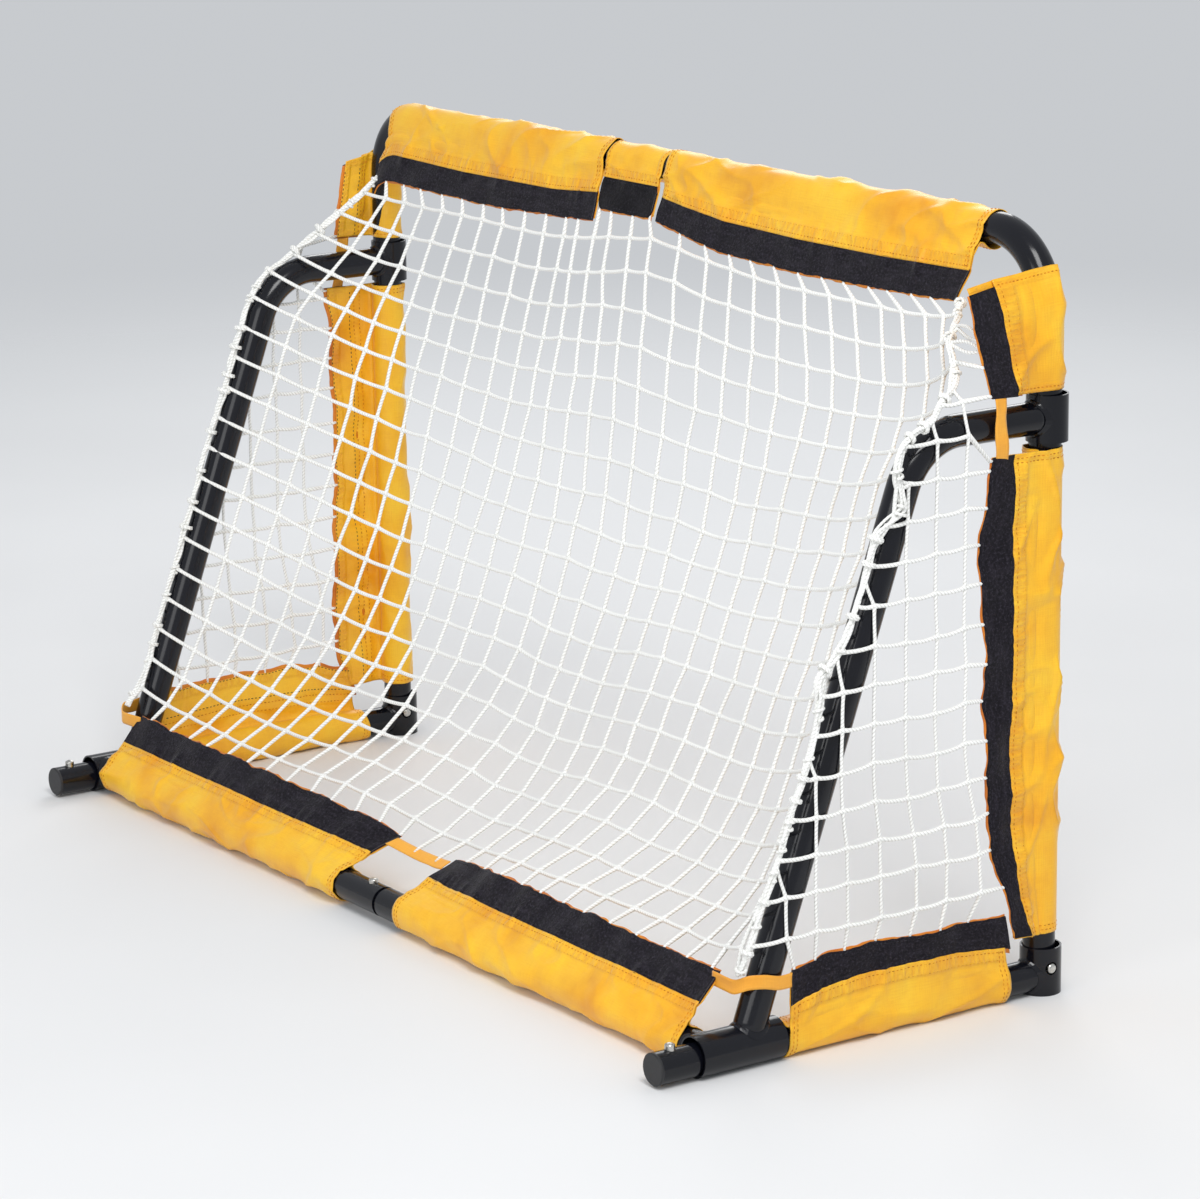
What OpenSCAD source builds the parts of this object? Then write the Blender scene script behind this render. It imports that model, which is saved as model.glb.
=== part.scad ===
// Knock-down practice goal: black steel tube frame with sprung snap buttons, cloth tube
// sleeves closed by hook-and-loop strips, and a square-mesh net.
// The mouth faces -Y, +Z is up and left (-X) and right (+X) are as seen from in front of it.
// The origin is the middle of the footprint, on the ground.

/* [Frame] */
// Width over the two uprights
goal_w = 1219; // [1100:1:1400]
// Height to the top of the crossbar tube
goal_h = 762; // [730:1:860]
// Depth from the front of the foot collars to the rear end caps
goal_d = 486; // [470:1:540]

/* [Tubes] */
// Outer diameter of every frame tube
tube_d = 32; // [31:0.5:34]
// Wall of the frame tubes
tube_wall = 1.5; // [1.2:0.1:2]
// Centre-line radius of every bend
bend_r = 72; // [66:1:80]

/* [Collars] */
// Radial play between a tube and the bore of its collar
collar_play = 2.7; // [1.5:0.1:3.5]
// Wall of the collars
collar_wall = 1.8; // [1.5:0.1:2.5]
// Gap left where a tube bears on the bore of its collar
bear_gap = 0.2; // [0.1:0.05:0.4]
// Height of the foot collars
foot_h = 48; // [46:1:56]
// Height of the top collars
top_collar_h = 46; // [42:1:54]
// Height of the middle of the top collars above the ground
top_collar_z = 574; // [560:1:590]
// Length of the rear collars
rear_collar_l = 96; // [90:1:110]

/* [Side brace] */
// Reach of the brace behind the upright, to the corner of its bend
brace_run = 155; // [145:1:170]
// Distance from the rear bar to the foot of the brace
brace_foot_gap = 41; // [38:1:48]

/* [Rear end] */
// Length of base tube behind the rear collar
tail_l = 46; // [40:1:52]
// Distance from the rear rim of the collar to the middle of the rear bar
rear_bar_inset = 18; // [17.5:0.5:22]

/* [Push-together joints] */
// Length of the swaged spigots
spigot_l = 60; // [50:1:70]
// Radial play of a spigot in its socket
spigot_play = 0.3; // [0.2:0.05:0.5]
// Length of the swaged shoulder
swage_l = 5; // [4:0.5:8]
// Sideways place of the crossbar joint
crossbar_joint_x = -14; // [-20:1:-12]
// Sideways place of the rear bar joint
rear_joint_x = -22; // [-30:1:-16]
// Distance from a joint to its snap button
joint_button_gap = 22; // [20:1:26]

/* [Snap buttons] */
// Diameter of the button heads
button_d = 10; // [8:0.5:11]
// Height of a head above the tube that carries it
button_out = 6.5; // [6:0.25:7]
// Diameter of the retaining flange inside the tube
flange_d = 13; // [12.5:0.25:14]
// Thickness of the retaining flange
flange_t = 1; // [0.8:0.1:1.2]
// Radial play of a head in its hole in the tube
button_play = 0.4; // [0.3:0.05:0.6]
// Diameter of the holes in the foot collars
collar_hole_d = 13; // [12.5:0.25:15]
// Height of the foot buttons above the ground
foot_button_z = 28; // [26:1:32]
// Distance from the rear rim of the collar to the base tube button
base_button_gap = 26; // [22:1:28]
// Thickness of the leaf springs
leaf_t = 0.8; // [0.6:0.1:1]
// Width of the leaf springs
leaf_w = 8; // [7:0.5:9]
// Length of the leaf springs
leaf_l = 44; // [40:1:48]

/* [Caps and welds] */
// Thickness of the rim of the end caps
cap_rim = 3; // [2:0.5:4]
// Length of the plug of the end caps
cap_plug_l = 8; // [6:1:9]
// Radial play of the plug in the tube
cap_play = 0.1; // [0.05:0.05:0.2]
// Width of the weld beads
bead_w = 2.5; // [2:0.25:3]

/* [Cloth sleeves] */
// Thickness of the sleeve cloth with its hems
cloth_t = 1; // [0.8:0.1:1.2]
// Least gap between a sleeve and its tube
sleeve_play = 0.4; // [0.35:0.05:0.8]
// Gap between the two edges that close a sleeve
edge_gap = 0.8; // [0.7:0.1:0.9]
// From the axis of a tube to the near edge of the black strip
neck_l = 36; // [32:1:38]
// Height of the folds in the sleeves
fold_h = 1.6; // [0.5:0.1:2]
// Length of one fold along a sleeve
fold_pitch = 92; // [80:1:120]
// Width of the black hook-and-loop strips
strip_w = 36; // [30:1:40]
// Height of the waves in the free edge of the strips
wave_h = 3; // [1:0.25:3.5]
// Gap between a sleeve end and the collar beside it
sleeve_end_gap = 5; // [4:1:8]
// Length of bare tube under the foot end of the lower sleeves
foot_bare_l = 16; // [10:1:20]
// Bare stretch of tube at the rear joint, left of the middle
rear_bare_left = 64; // [50:1:70]
// Bare stretch of tube at the rear joint, right of the middle
rear_bare_right = 54; // [40:1:60]
// Left edge of the crossbar flap
flap_start_x = 14; // [13:0.5:16]
// Width of the crossbar flap
flap_w = 104; // [90:1:120]
// From the crossbar axis to the patch of the flap
flap_neck_l = 22; // [20:1:26]
// Angle of the crossbar strips below the level
crossbar_strip_tilt = 75; // [70:1:80]
// Angle of the rear bar strips off the upright
rear_strip_tilt = 38; // [32:1:42]

/* [Net] */
// Thickness of the net cord
cord_d = 3; // [2.5:0.25:3.5]
// Number of gaps of the back net across the goal
back_cols = 16; // [10:1:17]
// Number of gaps of the back net from top to bottom
back_rows = 11; // [8:1:12]
// Number of gaps of a side net from front to back
side_cols = 5; // [4:1:6]
// Number of gaps of a side net from top to bottom
side_rows = 9; // [6:1:10]
// Depth of the sag of the back net, off a straight line
net_sag = 62; // [30:1:70]
// How sharply the back net rises to the side braces
edge_rise = 4; // [3:1:6]
// Diameter of the laced seam along the braces
seam_d = 6; // [5:0.5:7]
// Gap between a seam and the tube beside it
seam_gap = 0.3; // [0.25:0.05:0.5]
// Distance from the axis of a brace to the seam behind it
seam_lift = 32; // [32:0.5:34]
// Width of the border tape
tape_w = 14; // [12:1:18]
// Thickness of the border tape
tape_t = 1.2; // [1:0.1:1.5]

/* [Hidden] */
$fn = 64;
LEFT = -1;
RIGHT = 1;
tube_r = tube_d / 2;
bore_r = tube_r - tube_wall;
collar_in = tube_r + collar_play;
collar_out = collar_in + collar_wall;
bear = collar_play - bear_gap;            // how far a collar sits off its tube

half_span = goal_w / 2 - tube_r;          // upright axes
crossbar_z = goal_h - tube_r;
collar_y = -goal_d / 2 + collar_out;      // foot and top collar axes
upright_y = collar_y + bear;              // the net pulls the uprights back in their collars
tail_y = goal_d / 2 - cap_rim;            // rear end of the base tubes
rear_rim_y = goal_d / 2 - tail_l;         // rear rim of the rear collars
rear_front_y = rear_rim_y - rear_collar_l;
rear_y = rear_rim_y - rear_bar_inset;     // rear bar axis
rear_z = collar_out;                      // rear collars lie on the ground
base_z = rear_z - bear;                   // the base tubes lie in the collars

brace_top = [upright_y + brace_run, top_collar_z];
brace_foot = [rear_y - brace_foot_gap, rear_z];
brace_slope = atan2(brace_top[1] - brace_foot[1], brace_foot[0] - brace_top[0]);
brace_tangent = bend_r * tan(brace_slope / 2);
brace_len = norm(brace_foot - brace_top);

spigot_r = bore_r - spigot_play;
spigot_bore = spigot_r - tube_wall + 0.2;
crossbar_button_x = crossbar_joint_x + joint_button_gap;
rear_button_x = rear_joint_x + joint_button_gap;
base_button_y = rear_rim_y + base_button_gap;
button_hole_d = button_d + 2 * button_play;

cloth_in = tube_r + sleeve_play;          // clear radius inside a sleeve
strip_t = 2 * cloth_t + edge_gap;
arc_n = 10;                               // chords of the cloth round a tube
arc_step_max = 35;
cloth_inner = cloth_in / cos(arc_step_max / 2);
edge_top = cloth_inner - edge_gap;        // the second edge lies under the first
inner_arc = 270 + asin(edge_top / cloth_inner);
outer_arc = 270 + asin((edge_top - cloth_t) / (cloth_inner + cloth_t));
strip_mid = cloth_inner + cloth_t - strip_t / 2;
bend_step = 9;                            // angle between rings of cloth over a bend
bend_z = crossbar_z - bend_r;             // where the bend of an upright starts
upper_top_z = bend_z + bend_r * sin(3 * bend_step);
upper_low_z = top_collar_z + top_collar_h / 2 + sleeve_end_gap;
lower_top_z = top_collar_z - top_collar_h / 2 - sleeve_end_gap;
lower_low_z = foot_h + foot_bare_l;
base_front_y = collar_y + collar_out + bead_w + sleeve_end_gap + 4;
base_rear_y = rear_front_y - sleeve_end_gap;
rear_end_x = half_span - collar_out - bead_w - sleeve_end_gap;
straight_x = half_span - bend_r;          // where the crossbar bend starts
right_start_x = flap_start_x + flap_w + 0.5;
strip_reach = neck_l + strip_w;
net_gap = 0.3;
lower_strip_z = base_z + strip_reach + net_gap; // just above the strip of the base

seam_x = half_span + tube_r - 2;
side_x = half_span + tube_r + seam_gap + cord_d / 2;
net_x = seam_x - seam_d / 2 - seam_gap;
net_top = [upright_y, crossbar_z] + on_crossbar(strip_reach + cord_d / 2 + net_gap, strip_mid);
net_low = [rear_y, rear_z] + on_rear(strip_reach + cord_d / 2 + net_gap, strip_mid);
side_front_y = upright_y + strip_reach + net_gap;
side_low_z = base_z + strip_reach + net_gap;
brace_bend = brace_top - [brace_tangent, bend_r]; // centre of the bend of a brace
seam_foot = strip_reach + tape_w + seam_d; // where the seam ends, along the brace from its foot
// Line over the bend and down the brace, a distance behind its axis
function brace_line(lift) = concat(
    [[side_front_y + seam_d / 2 + lift - seam_lift, upper_top_z - strip_w / 2]],
    [for (f = [70, 45, 90 - brace_slope]) brace_bend + (bend_r + lift) * [cos(f), sin(f)]],
    [brace_foot + (brace_top - brace_foot) * (seam_foot / brace_len)
        + lift * [sin(brace_slope), cos(brace_slope)]]);
seam_line = brace_line(seam_lift);
side_line = brace_line(seam_lift - seam_d / 2 - seam_gap); // where the side nets end

function on_crossbar(a, b) = let(t = crossbar_strip_tilt)
    [a * cos(t) + b * sin(t), -a * sin(t) + b * cos(t)];
function on_rear(a, b) = let(t = rear_strip_tilt)
    [-a * sin(t) + b * cos(t), a * cos(t) + b * sin(t)];

// ---------------------------------------------------------------- helpers

module at_side(s) {
    if (s == RIGHT) mirror([1, 0, 0]) children();
    else children();
}

// Turns a shape drawn in X and Y into the Y-Z plane, its height along X
module in_side_plane() { rotate([90, 0, 90]) children(); }

module pipe(len, outer, inner) {
    difference() {
        cylinder(h = len, r = outer);
        translate([0, 0, -1]) cylinder(h = len + 2, r = inner);
    }
}

module bent_pipe(angle) {
    rotate_extrude(angle = angle, $fn = 96) translate([bend_r, 0]) difference() {
        circle(r = tube_r);
        circle(r = bore_r);
    }
}

// Half of a horizontal bar along +X from x0 that ends in a swaged spigot
module spigot_pipe(len) {
    rotate([0, 90, 0]) rotate_extrude() polygon([
        [bore_r, 0], [tube_r, 0], [tube_r, len - swage_l], [spigot_r, len],
        [spigot_r, len + spigot_l], [spigot_bore, len + spigot_l],
        [spigot_bore, len], [bore_r, len - swage_l]]);
}

// Line of travel of a snap button, from the tube axis outward along +Z
module button_hole(reach, d) { cylinder(h = reach, d = d); }

// ---------------------------------------------------------------- frame tubes

module upright(s) {
    joint = s == LEFT ? half_span + crossbar_joint_x : half_span - crossbar_joint_x;
    color("#17171b") difference() {
        at_side(s) union() {
            translate([-half_span, upright_y, 0]) pipe(bend_z, tube_r, bore_r);
            translate([-straight_x, upright_y, bend_z])
                rotate([90, 0, 0]) rotate(90) bent_pipe(90);
            translate([-straight_x, upright_y, crossbar_z]) {
                if (s == LEFT) spigot_pipe(joint - bend_r);
                else rotate([0, 90, 0]) pipe(joint - bend_r, tube_r, bore_r);
            }
        }
        translate([s * half_span - collar_out, upright_y, foot_button_z])
            rotate([0, 90, 0]) button_hole(2 * collar_out, button_hole_d);
        translate([crossbar_button_x, upright_y, crossbar_z])
            mirror([0, 0, 1]) button_hole(2 * tube_r, button_hole_d);
    }
}

module foot_collar(s) {
    color("#17171b") difference() {
        translate([s * half_span, collar_y, 0]) pipe(foot_h, collar_out, collar_in);
        translate([s * half_span - 2 * collar_out, upright_y, foot_button_z])
            rotate([0, 90, 0]) button_hole(4 * collar_out, collar_hole_d);
    }
}

module base_tube(s) {
    color("#17171b") difference() {
        translate([s * half_span, collar_y, base_z])
            rotate([-90, 0, 0]) pipe(tail_y - collar_y, tube_r, bore_r);
        translate([s * half_span, collar_y, -1]) cylinder(h = foot_h + 2, r = collar_out);
        translate([s * half_span, base_button_y, base_z]) button_hole(2 * tube_r, button_hole_d);
    }
}

module top_collar(s) {
    color("#17171b") translate([s * half_span, collar_y, top_collar_z - top_collar_h / 2])
        pipe(top_collar_h, collar_out, collar_in);
}

module rear_collar(s) {
    color("#17171b") translate([s * half_span, rear_front_y, rear_z])
        rotate([-90, 0, 0]) pipe(rear_collar_l, collar_out, collar_in);
}

// How far a point w beside the axis of a branch tube runs along d to the skin of the main tube
// of radius r, whose axis m crosses the branch axis
function cope_run(w, d, m, r) =
    let(wp = w - (w * m) * m, dp = d - (d * m) * m, a = dp * dp, b = wp * dp)
    (-b + sqrt(b * b - a * (wp * wp - r * r))) / a;
function around(r, a, u, v) = r * (cos(a) * u + sin(a) * v);
function unit(v) = v / norm(v);

tube_n = 28;                              // sides of a bent brace
bend_steps = 8;
weld_gap = 0.1;                           // root gap of a coped end
bead_gap = 0.28;                          // from a bead to the metal on both sides
brace_dir = [0, cos(brace_slope), -sin(brace_slope)];
brace_up = [0, sin(brace_slope), cos(brace_slope)];

// Rings of one skin of the brace, from the coped top end to the coped foot
function brace_rings(r) =
    let(x = [1, 0, 0], y = [0, 1, 0], z = [0, 0, 1], cope_r = collar_out + weld_gap,
        turns = [for (i = [0 : tube_n - 1]) i * 360 / tube_n],
        top = [0, collar_y, top_collar_z], foot = [0, brace_foot[0], brace_foot[1]],
        mid = [0, brace_top[0] - brace_tangent, top_collar_z - bend_r])
    concat([[for (a = turns) let(w = around(r, a, x, z)) top + w + cope_run(w, y, z, cope_r) * y]],
           [for (i = [0 : bend_steps])
               let(f = i * brace_slope / bend_steps, out = [0, sin(f), cos(f)])
               [for (a = turns) mid + bend_r * out + around(r, a, x, out)]],
           [[for (a = turns) let(w = around(r, a, x, brace_up))
               foot + w - cope_run(w, -brace_dir, y, cope_r) * brace_dir]]);

// Hollow skin between two rows of rings
module hollow_skin(outer, inner) {
    n = len(outer[0]);
    m = len(outer);
    size = n * m;
    function side(i, j) = [i * n + j, i * n + (j + 1) % n, (i + 1) * n + (j + 1) % n, (i + 1) * n + j];
    function wall(q, shift) = [[q[0], q[1], q[2]] + shift, [q[0], q[2], q[3]] + shift];
    polyhedron(points = concat([for (r = outer) each r], [for (r = inner) each r]),
               faces = concat(
        [for (i = [0 : m - 2], j = [0 : n - 1]) each wall(side(i, j), [0, 0, 0])],
        [for (i = [0 : m - 2], j = [0 : n - 1])
            let(q = side(i, j)) each wall([q[3], q[2], q[1], q[0]], [1, 1, 1] * size)],
        [for (j = [0 : n - 1]) let(k = (j + 1) % n)
            each [[k, j, size + j], [k, size + j, size + k]]],
        [for (j = [0 : n - 1]) let(e = (m - 1) * n, k = (j + 1) % n)
            each [[e + j, e + k, size + e + k], [e + j, size + e + k, size + e + j]]]));
}

module side_brace(s) {
    color("#17171b") translate([s * half_span, 0, 0])
        hollow_skin(brace_rings(tube_r), brace_rings(bore_r));
}

module rear_bar(s) {
    len = s == LEFT ? half_span + rear_joint_x : half_span - rear_joint_x;
    color("#17171b") difference() {
        at_side(s) translate([-half_span, rear_y, rear_z]) {
            if (s == LEFT) spigot_pipe(len);
            else rotate([0, 90, 0]) pipe(len, tube_r, bore_r);
        }
        translate([s * half_span, rear_front_y - 1, rear_z])
            rotate([-90, 0, 0]) cylinder(h = rear_collar_l + 2, r = collar_out);
        translate([rear_button_x, rear_y, rear_z]) button_hole(2 * tube_r, button_hole_d);
    }
}

module end_cap(s) {
    plug_r = bore_r - cap_play;
    color("#1c1c1e") translate([s * half_span, tail_y, base_z]) rotate([-90, 0, 0])
        rotate_extrude() polygon([
            [0, -cap_plug_l], [plug_r - 1, -cap_plug_l], [plug_r, 1 - cap_plug_l], [plug_r, 0],
            [tube_r, 0], [tube_r, cap_rim - 1], [tube_r - 1, cap_rim], [0, cap_rim]]);
}

// ---------------------------------------------------------------- weld beads

// Section of a bead at one angle: root, up the branch, crown and toe on the main tube.
// It stays above the ground and before the rear rim of the collar.
function bead_ring(o, d, m, a) =
    let(u = unit(cross(m, d)), v = cross(d, u), g = bead_gap)
    [for (c = [[g, g], [g, bead_w + g], [0.7 * bead_w, 0.7 * bead_w], [bead_w + g, g]])
        let(w = around(tube_r + c[0], a, u, v), root = cope_run(w, d, m, collar_out + g),
            q = o + w + (root + c[1] - g) * d)
        above_ground([q[0], min(q[1], rear_rim_y - bear_gap), q[2]])];

// Bead round the foot of a branch along d from o, on a main tube along m
module bead(o, d, m) {
    rings = [for (i = [0 : tube_n - 1]) bead_ring(o, d, m, i * 360 / tube_n)];
    n = len(rings[0]);
    polyhedron(points = [for (r = rings) each r],
               faces = [for (i = [0 : tube_n - 1], j = [0 : n - 1], h = [0, 1])
                   let(a = i * n, b = ((i + 1) % tube_n) * n, k = (j + 1) % n)
                   h == 0 ? [a + j, b + j, b + k] : [a + j, b + k, a + k]]);
}

module welds(s) {
    x = [1, 0, 0];
    y = [0, 1, 0];
    z = [0, 0, 1];
    color("#26262b") translate([s * half_span, 0, 0]) {
        bead([0, collar_y, base_z], y, z);
        bead([0, collar_y, top_collar_z], y, z);
        bead([0, brace_foot[0], rear_z], -brace_dir, y);
        bead([0, rear_y, rear_z], -s * x, y);
    }
}

// ---------------------------------------------------------------- snap buttons and springs

// Domed head with its flange, in a tube of the given bore and outer radius, along +Z
module snap_button(bore, outer) {
    top = outer + button_out;
    seat = sqrt(bore * bore - flange_d * flange_d / 4) - bear_gap;
    dome = button_d / 4;
    color("#c9ccd0") rotate_extrude() polygon(concat(
        [[0, seat - flange_t], [flange_d / 2, seat - flange_t], [flange_d / 2, seat],
         [button_d / 2, seat]],
        [for (a = [0 : 15 : 90]) [button_d / 2 * cos(a), top - dome + dome * sin(a)]]));
}

module foot_button(s, side) {
    translate([s * half_span, upright_y, foot_button_z]) rotate([0, side * 90, 0])
        snap_button(bore_r, tube_r);
}

module base_button(s) {
    translate([s * half_span, base_button_y, base_z]) snap_button(bore_r, tube_r);
}

module rear_bar_button() {
    translate([rear_button_x, rear_y, rear_z]) snap_button(spigot_bore, spigot_r);
}

module crossbar_button() {
    translate([crossbar_button_x, upright_y, crossbar_z]) mirror([0, 0, 1])
        snap_button(spigot_bore, spigot_r);
}

// Leaf bent back on itself: the long leg lies on the wall opposite the button, at -Z
module leaf_spring(bore) {
    low = -sqrt(bore * bore - leaf_w * leaf_w / 4) + bear_gap;
    bend = leaf_t * 2;
    color("#9fa3a8") translate([-flange_d / 2 - 1, leaf_w / 2, 0]) rotate([90, 0, 0])
        linear_extrude(leaf_w) {
            translate([0, low]) square([leaf_l, leaf_t]);
            translate([leaf_l, low + bend]) difference() {
                circle(r = bend);
                circle(r = bend - leaf_t);
                translate([-2 * bend, -2 * bend]) square([2 * bend, 4 * bend]);
            }
            translate([leaf_l / 3, low + 2 * bend - leaf_t]) square([leaf_l * 2 / 3, leaf_t]);
        }
}

// The two legs of a double-ended spring stand apart and bear on the wall above the buttons
module foot_spring() {
    reach = sqrt(bore_r * bore_r - leaf_w * leaf_w / 4) - bear_gap;
    half = 2 * leaf_t + 0.4;
    lift = flange_d;
    color("#9fa3a8") translate([0, leaf_w / 2, 0]) rotate([90, 0, 0]) linear_extrude(leaf_w) {
        for (m = [0, 1]) mirror([m, 0]) {
            translate([half - leaf_t, -lift]) square([leaf_t, 2 * lift]);
            polygon([[half - leaf_t, lift], [half, lift], [reach, lift + leaf_l / 2],
                     [reach - leaf_t, lift + leaf_l / 2]]);
        }
        translate([0, -lift]) difference() {
            circle(r = half);
            circle(r = half - leaf_t);
            translate([-half, 0]) square([2 * half, half]);
        }
    }
}

// ---------------------------------------------------------------- swept cloth

// One station of a sweep: origin, direction of the closing edge, direction off its face
function station(o, e1, e2) = [o, e1, e2];
function cross_station(x) =
    let(s = sign(x), over = max(0, abs(x) - straight_x), f = asin(over / bend_r),
        n = [s * sin(f), 0, cos(f)], t = crossbar_strip_tilt,
        o = [s * (abs(x) - over + bend_r * sin(f)), upright_y, crossbar_z - bend_r * (1 - cos(f))])
    station(o, cos(t) * [0, 1, 0] - sin(t) * n, sin(t) * [0, 1, 0] + cos(t) * n);
function upright_station(z, s) =
    let(over = max(0, z - crossbar_z + bend_r), f = asin(over / bend_r))
    station([s * (half_span - bend_r * (1 - cos(f))), upright_y, z], [0, 1, 0],
            [s * cos(f), 0, sin(f)]);
function base_station(y, s) = station([s * half_span, y, base_z], [0, 0, 1], [s, 0, 0]);
function rear_station(x) = let(t = rear_strip_tilt)
    station([x, rear_y, rear_z], [0, -sin(t), cos(t)], [0, cos(t), sin(t)]);

function at_station(st, p) = st[0] + p[0] * st[1] + p[1] * st[2];
function above_ground(q) = [q[0], q[1], max(q[2], bear_gap)];
function spread(from, to, n) = [for (i = [0 : n]) from + (to - from) * i / n];
// Even steps up to the start of a bend, then small steps of angle over the bend
function bend_spread(from, bend_start, n) =
    concat(spread(from, bend_start, n),
           [for (f = [bend_step, 2 * bend_step, 3 * bend_step]) bend_start + bend_r * sin(f)]);

// Area vector of a closed ring of points
function ring_area(r) = [for (j = [0 : len(r) - 1]) 1] * [for (j = [0 : len(r) - 1])
    cross(r[j] - r[0], r[(j + 1) % len(r)] - r[0])];

// The end of a ring is a strip of pairs, point j facing point n - 1 - j
function ring_cap(j, n) = [[j, j + 1, n - 2 - j], [j, n - 2 - j, n - 1 - j]];

// Skin over a row of rings that hold the same number of points each
module skin(rings) {
    n = len(rings[0]);
    m = len(rings);
    ahead = ring_area(rings[0]) * (rings[m - 1][0] - rings[0][0]) > 0;
    polyhedron(points = [for (r = rings) for (j = [0 : n - 1]) r[ahead ? j : n - 1 - j]],
               faces = concat([for (j = [0 : n / 2 - 2], f = ring_cap(j, n)) f],
                              [for (j = [0 : n / 2 - 2], f = ring_cap(j, n))
                                  [for (k = [2 : -1 : 0]) (m - 1) * n + f[k]]],
                              [for (i = [0 : m - 2], j = [0 : n - 1], h = [0, 1])
                                  let(a = i * n + j, b = i * n + (j + 1) % n)
                                  h == 0 ? [a, a + n, b + n] : [a, b + n, b]]));
}

// Height of the fold over the tube at one angle and one place along the sleeve
function fold(a, along) =
    fold_h * sin((a - 90) * 180 / outer_arc) * pow(max(0, sin(a * 2 + along * 360 / fold_pitch)), 2);

// Cloth wrapped round the tube, its two edges laid together at the closing edge
function sleeve_ring(along, rise, neck) =
    let(out_r = cloth_inner + cloth_t, step = inner_arc / arc_n)
    concat([[neck, out_r]],
           [for (i = [0 : arc_n])
               let(a = 90 + min(i * step, outer_arc), r = out_r + rise * fold(a, along))
               r * [cos(a), sin(a)]],
           [[neck, edge_top - cloth_t], [neck, edge_top]],
           [for (i = [arc_n : -1 : 0]) cloth_inner * [cos(90 + i * step), sin(90 + i * step)]],
           [[neck, cloth_inner]]);

module sleeve(stations, from, to, neck = neck_l) {
    n = len(stations) - 1;
    color("#eba21c") skin([for (i = [0 : n])
        let(along = from + (to - from) * i / n, rise = i == 0 || i == n ? 0 : 1)
        [for (p = sleeve_ring(along, rise, neck)) above_ground(at_station(stations[i], p))]]);
}

// Flat strip beyond the neck of a sleeve, with a wavy free edge
module strip(stations, from, to, neck = neck_l) {
    n = len(stations) - 1;
    color("#222226") skin([for (i = [0 : n])
        let(along = from + (to - from) * i / n, wave = wave_h * pow(sin(along * 360 / fold_pitch), 2),
            b = strip_mid - wave)
        [for (p = [[neck, strip_mid + strip_t / 2], [neck, strip_mid - strip_t / 2],
                   [neck + strip_w, b - strip_t / 2], [neck + strip_w, b + strip_t / 2]])
            at_station(stations[i], p)]]);
}

// Steps between rings of a sleeve and of a strip
sleeve_steps = 6;
strip_steps = 11;

module crossbar_sleeve(from, to) {
    sleeve([for (x = spread(from, to, sleeve_steps)) cross_station(x)], from, to);
}
module crossbar_strip(from, to) {
    strip([for (x = spread(from, to, strip_steps)) cross_station(x)], from, to);
}
module upright_sleeve(s, low, top, steps) {
    sleeve([for (z = spread(low, top, steps)) upright_station(z, s)], low, top);
}
module upper_sleeve(s) {
    sleeve([for (z = bend_spread(upper_low_z, bend_z, 2)) upright_station(z, s)],
           upper_low_z, upper_top_z);
}
module upright_strip(s, low, top, steps) {
    strip([for (z = spread(low, top, steps)) upright_station(z, s)], low, top);
}

// ---------------------------------------------------------------- net

function lerp(a, b, t) = a + (b - a) * t;
// Middle of the back net in Y and Z, from top (0) to bottom (1): a sagging curve
function net_mid(v) =
    let(straight = lerp(net_top, net_low, v), d = net_low - net_top,
        inward = [d[1], -d[0]] / norm(d))
    straight + inward * net_sag * 4 * v * (1 - v);
// Length of a line of points up to one of them, and the point at a share of its whole length
function run_length(line, i) = i == 0 ? 0 : norm(line[i] - line[i - 1]) + run_length(line, i - 1);
function on_line(line, d, i = 1) =
    let(step = norm(line[i] - line[i - 1]))
    d <= step || i == len(line) - 1 ? lerp(line[i - 1], line[i], d / step)
                                    : on_line(line, d - step, i + 1);
function net_point(u, v) =
    let(side = 2 * u - 1, w = pow(abs(side), edge_rise + 10 * pow(abs(1 - 2 * v), 3)),
        edge = on_line(seam_line, v * run_length(seam_line, len(seam_line) - 1)),
        p = lerp(net_mid(v), edge, w))
    [side * (net_x - 0.75 * cord_d), p[0], p[1]];
// Corner points of one crossing of the net: four in front and four behind
function crossing(u, v) =
    let(e = 0.001, h = cord_d / 2,
        du = unit(net_point(u + e, v) - net_point(u - e, v)),
        dv = unit(net_point(u, v + e) - net_point(u, v - e)),
        n = unit(cross(du, dv)), p = net_point(u, v))
    [for (k = [-1, 1], c = [[-1, -1], [1, -1], [1, 1], [-1, 1]])
        p + h * (c[0] * du + c[1] * dv + k * n)];

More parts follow.
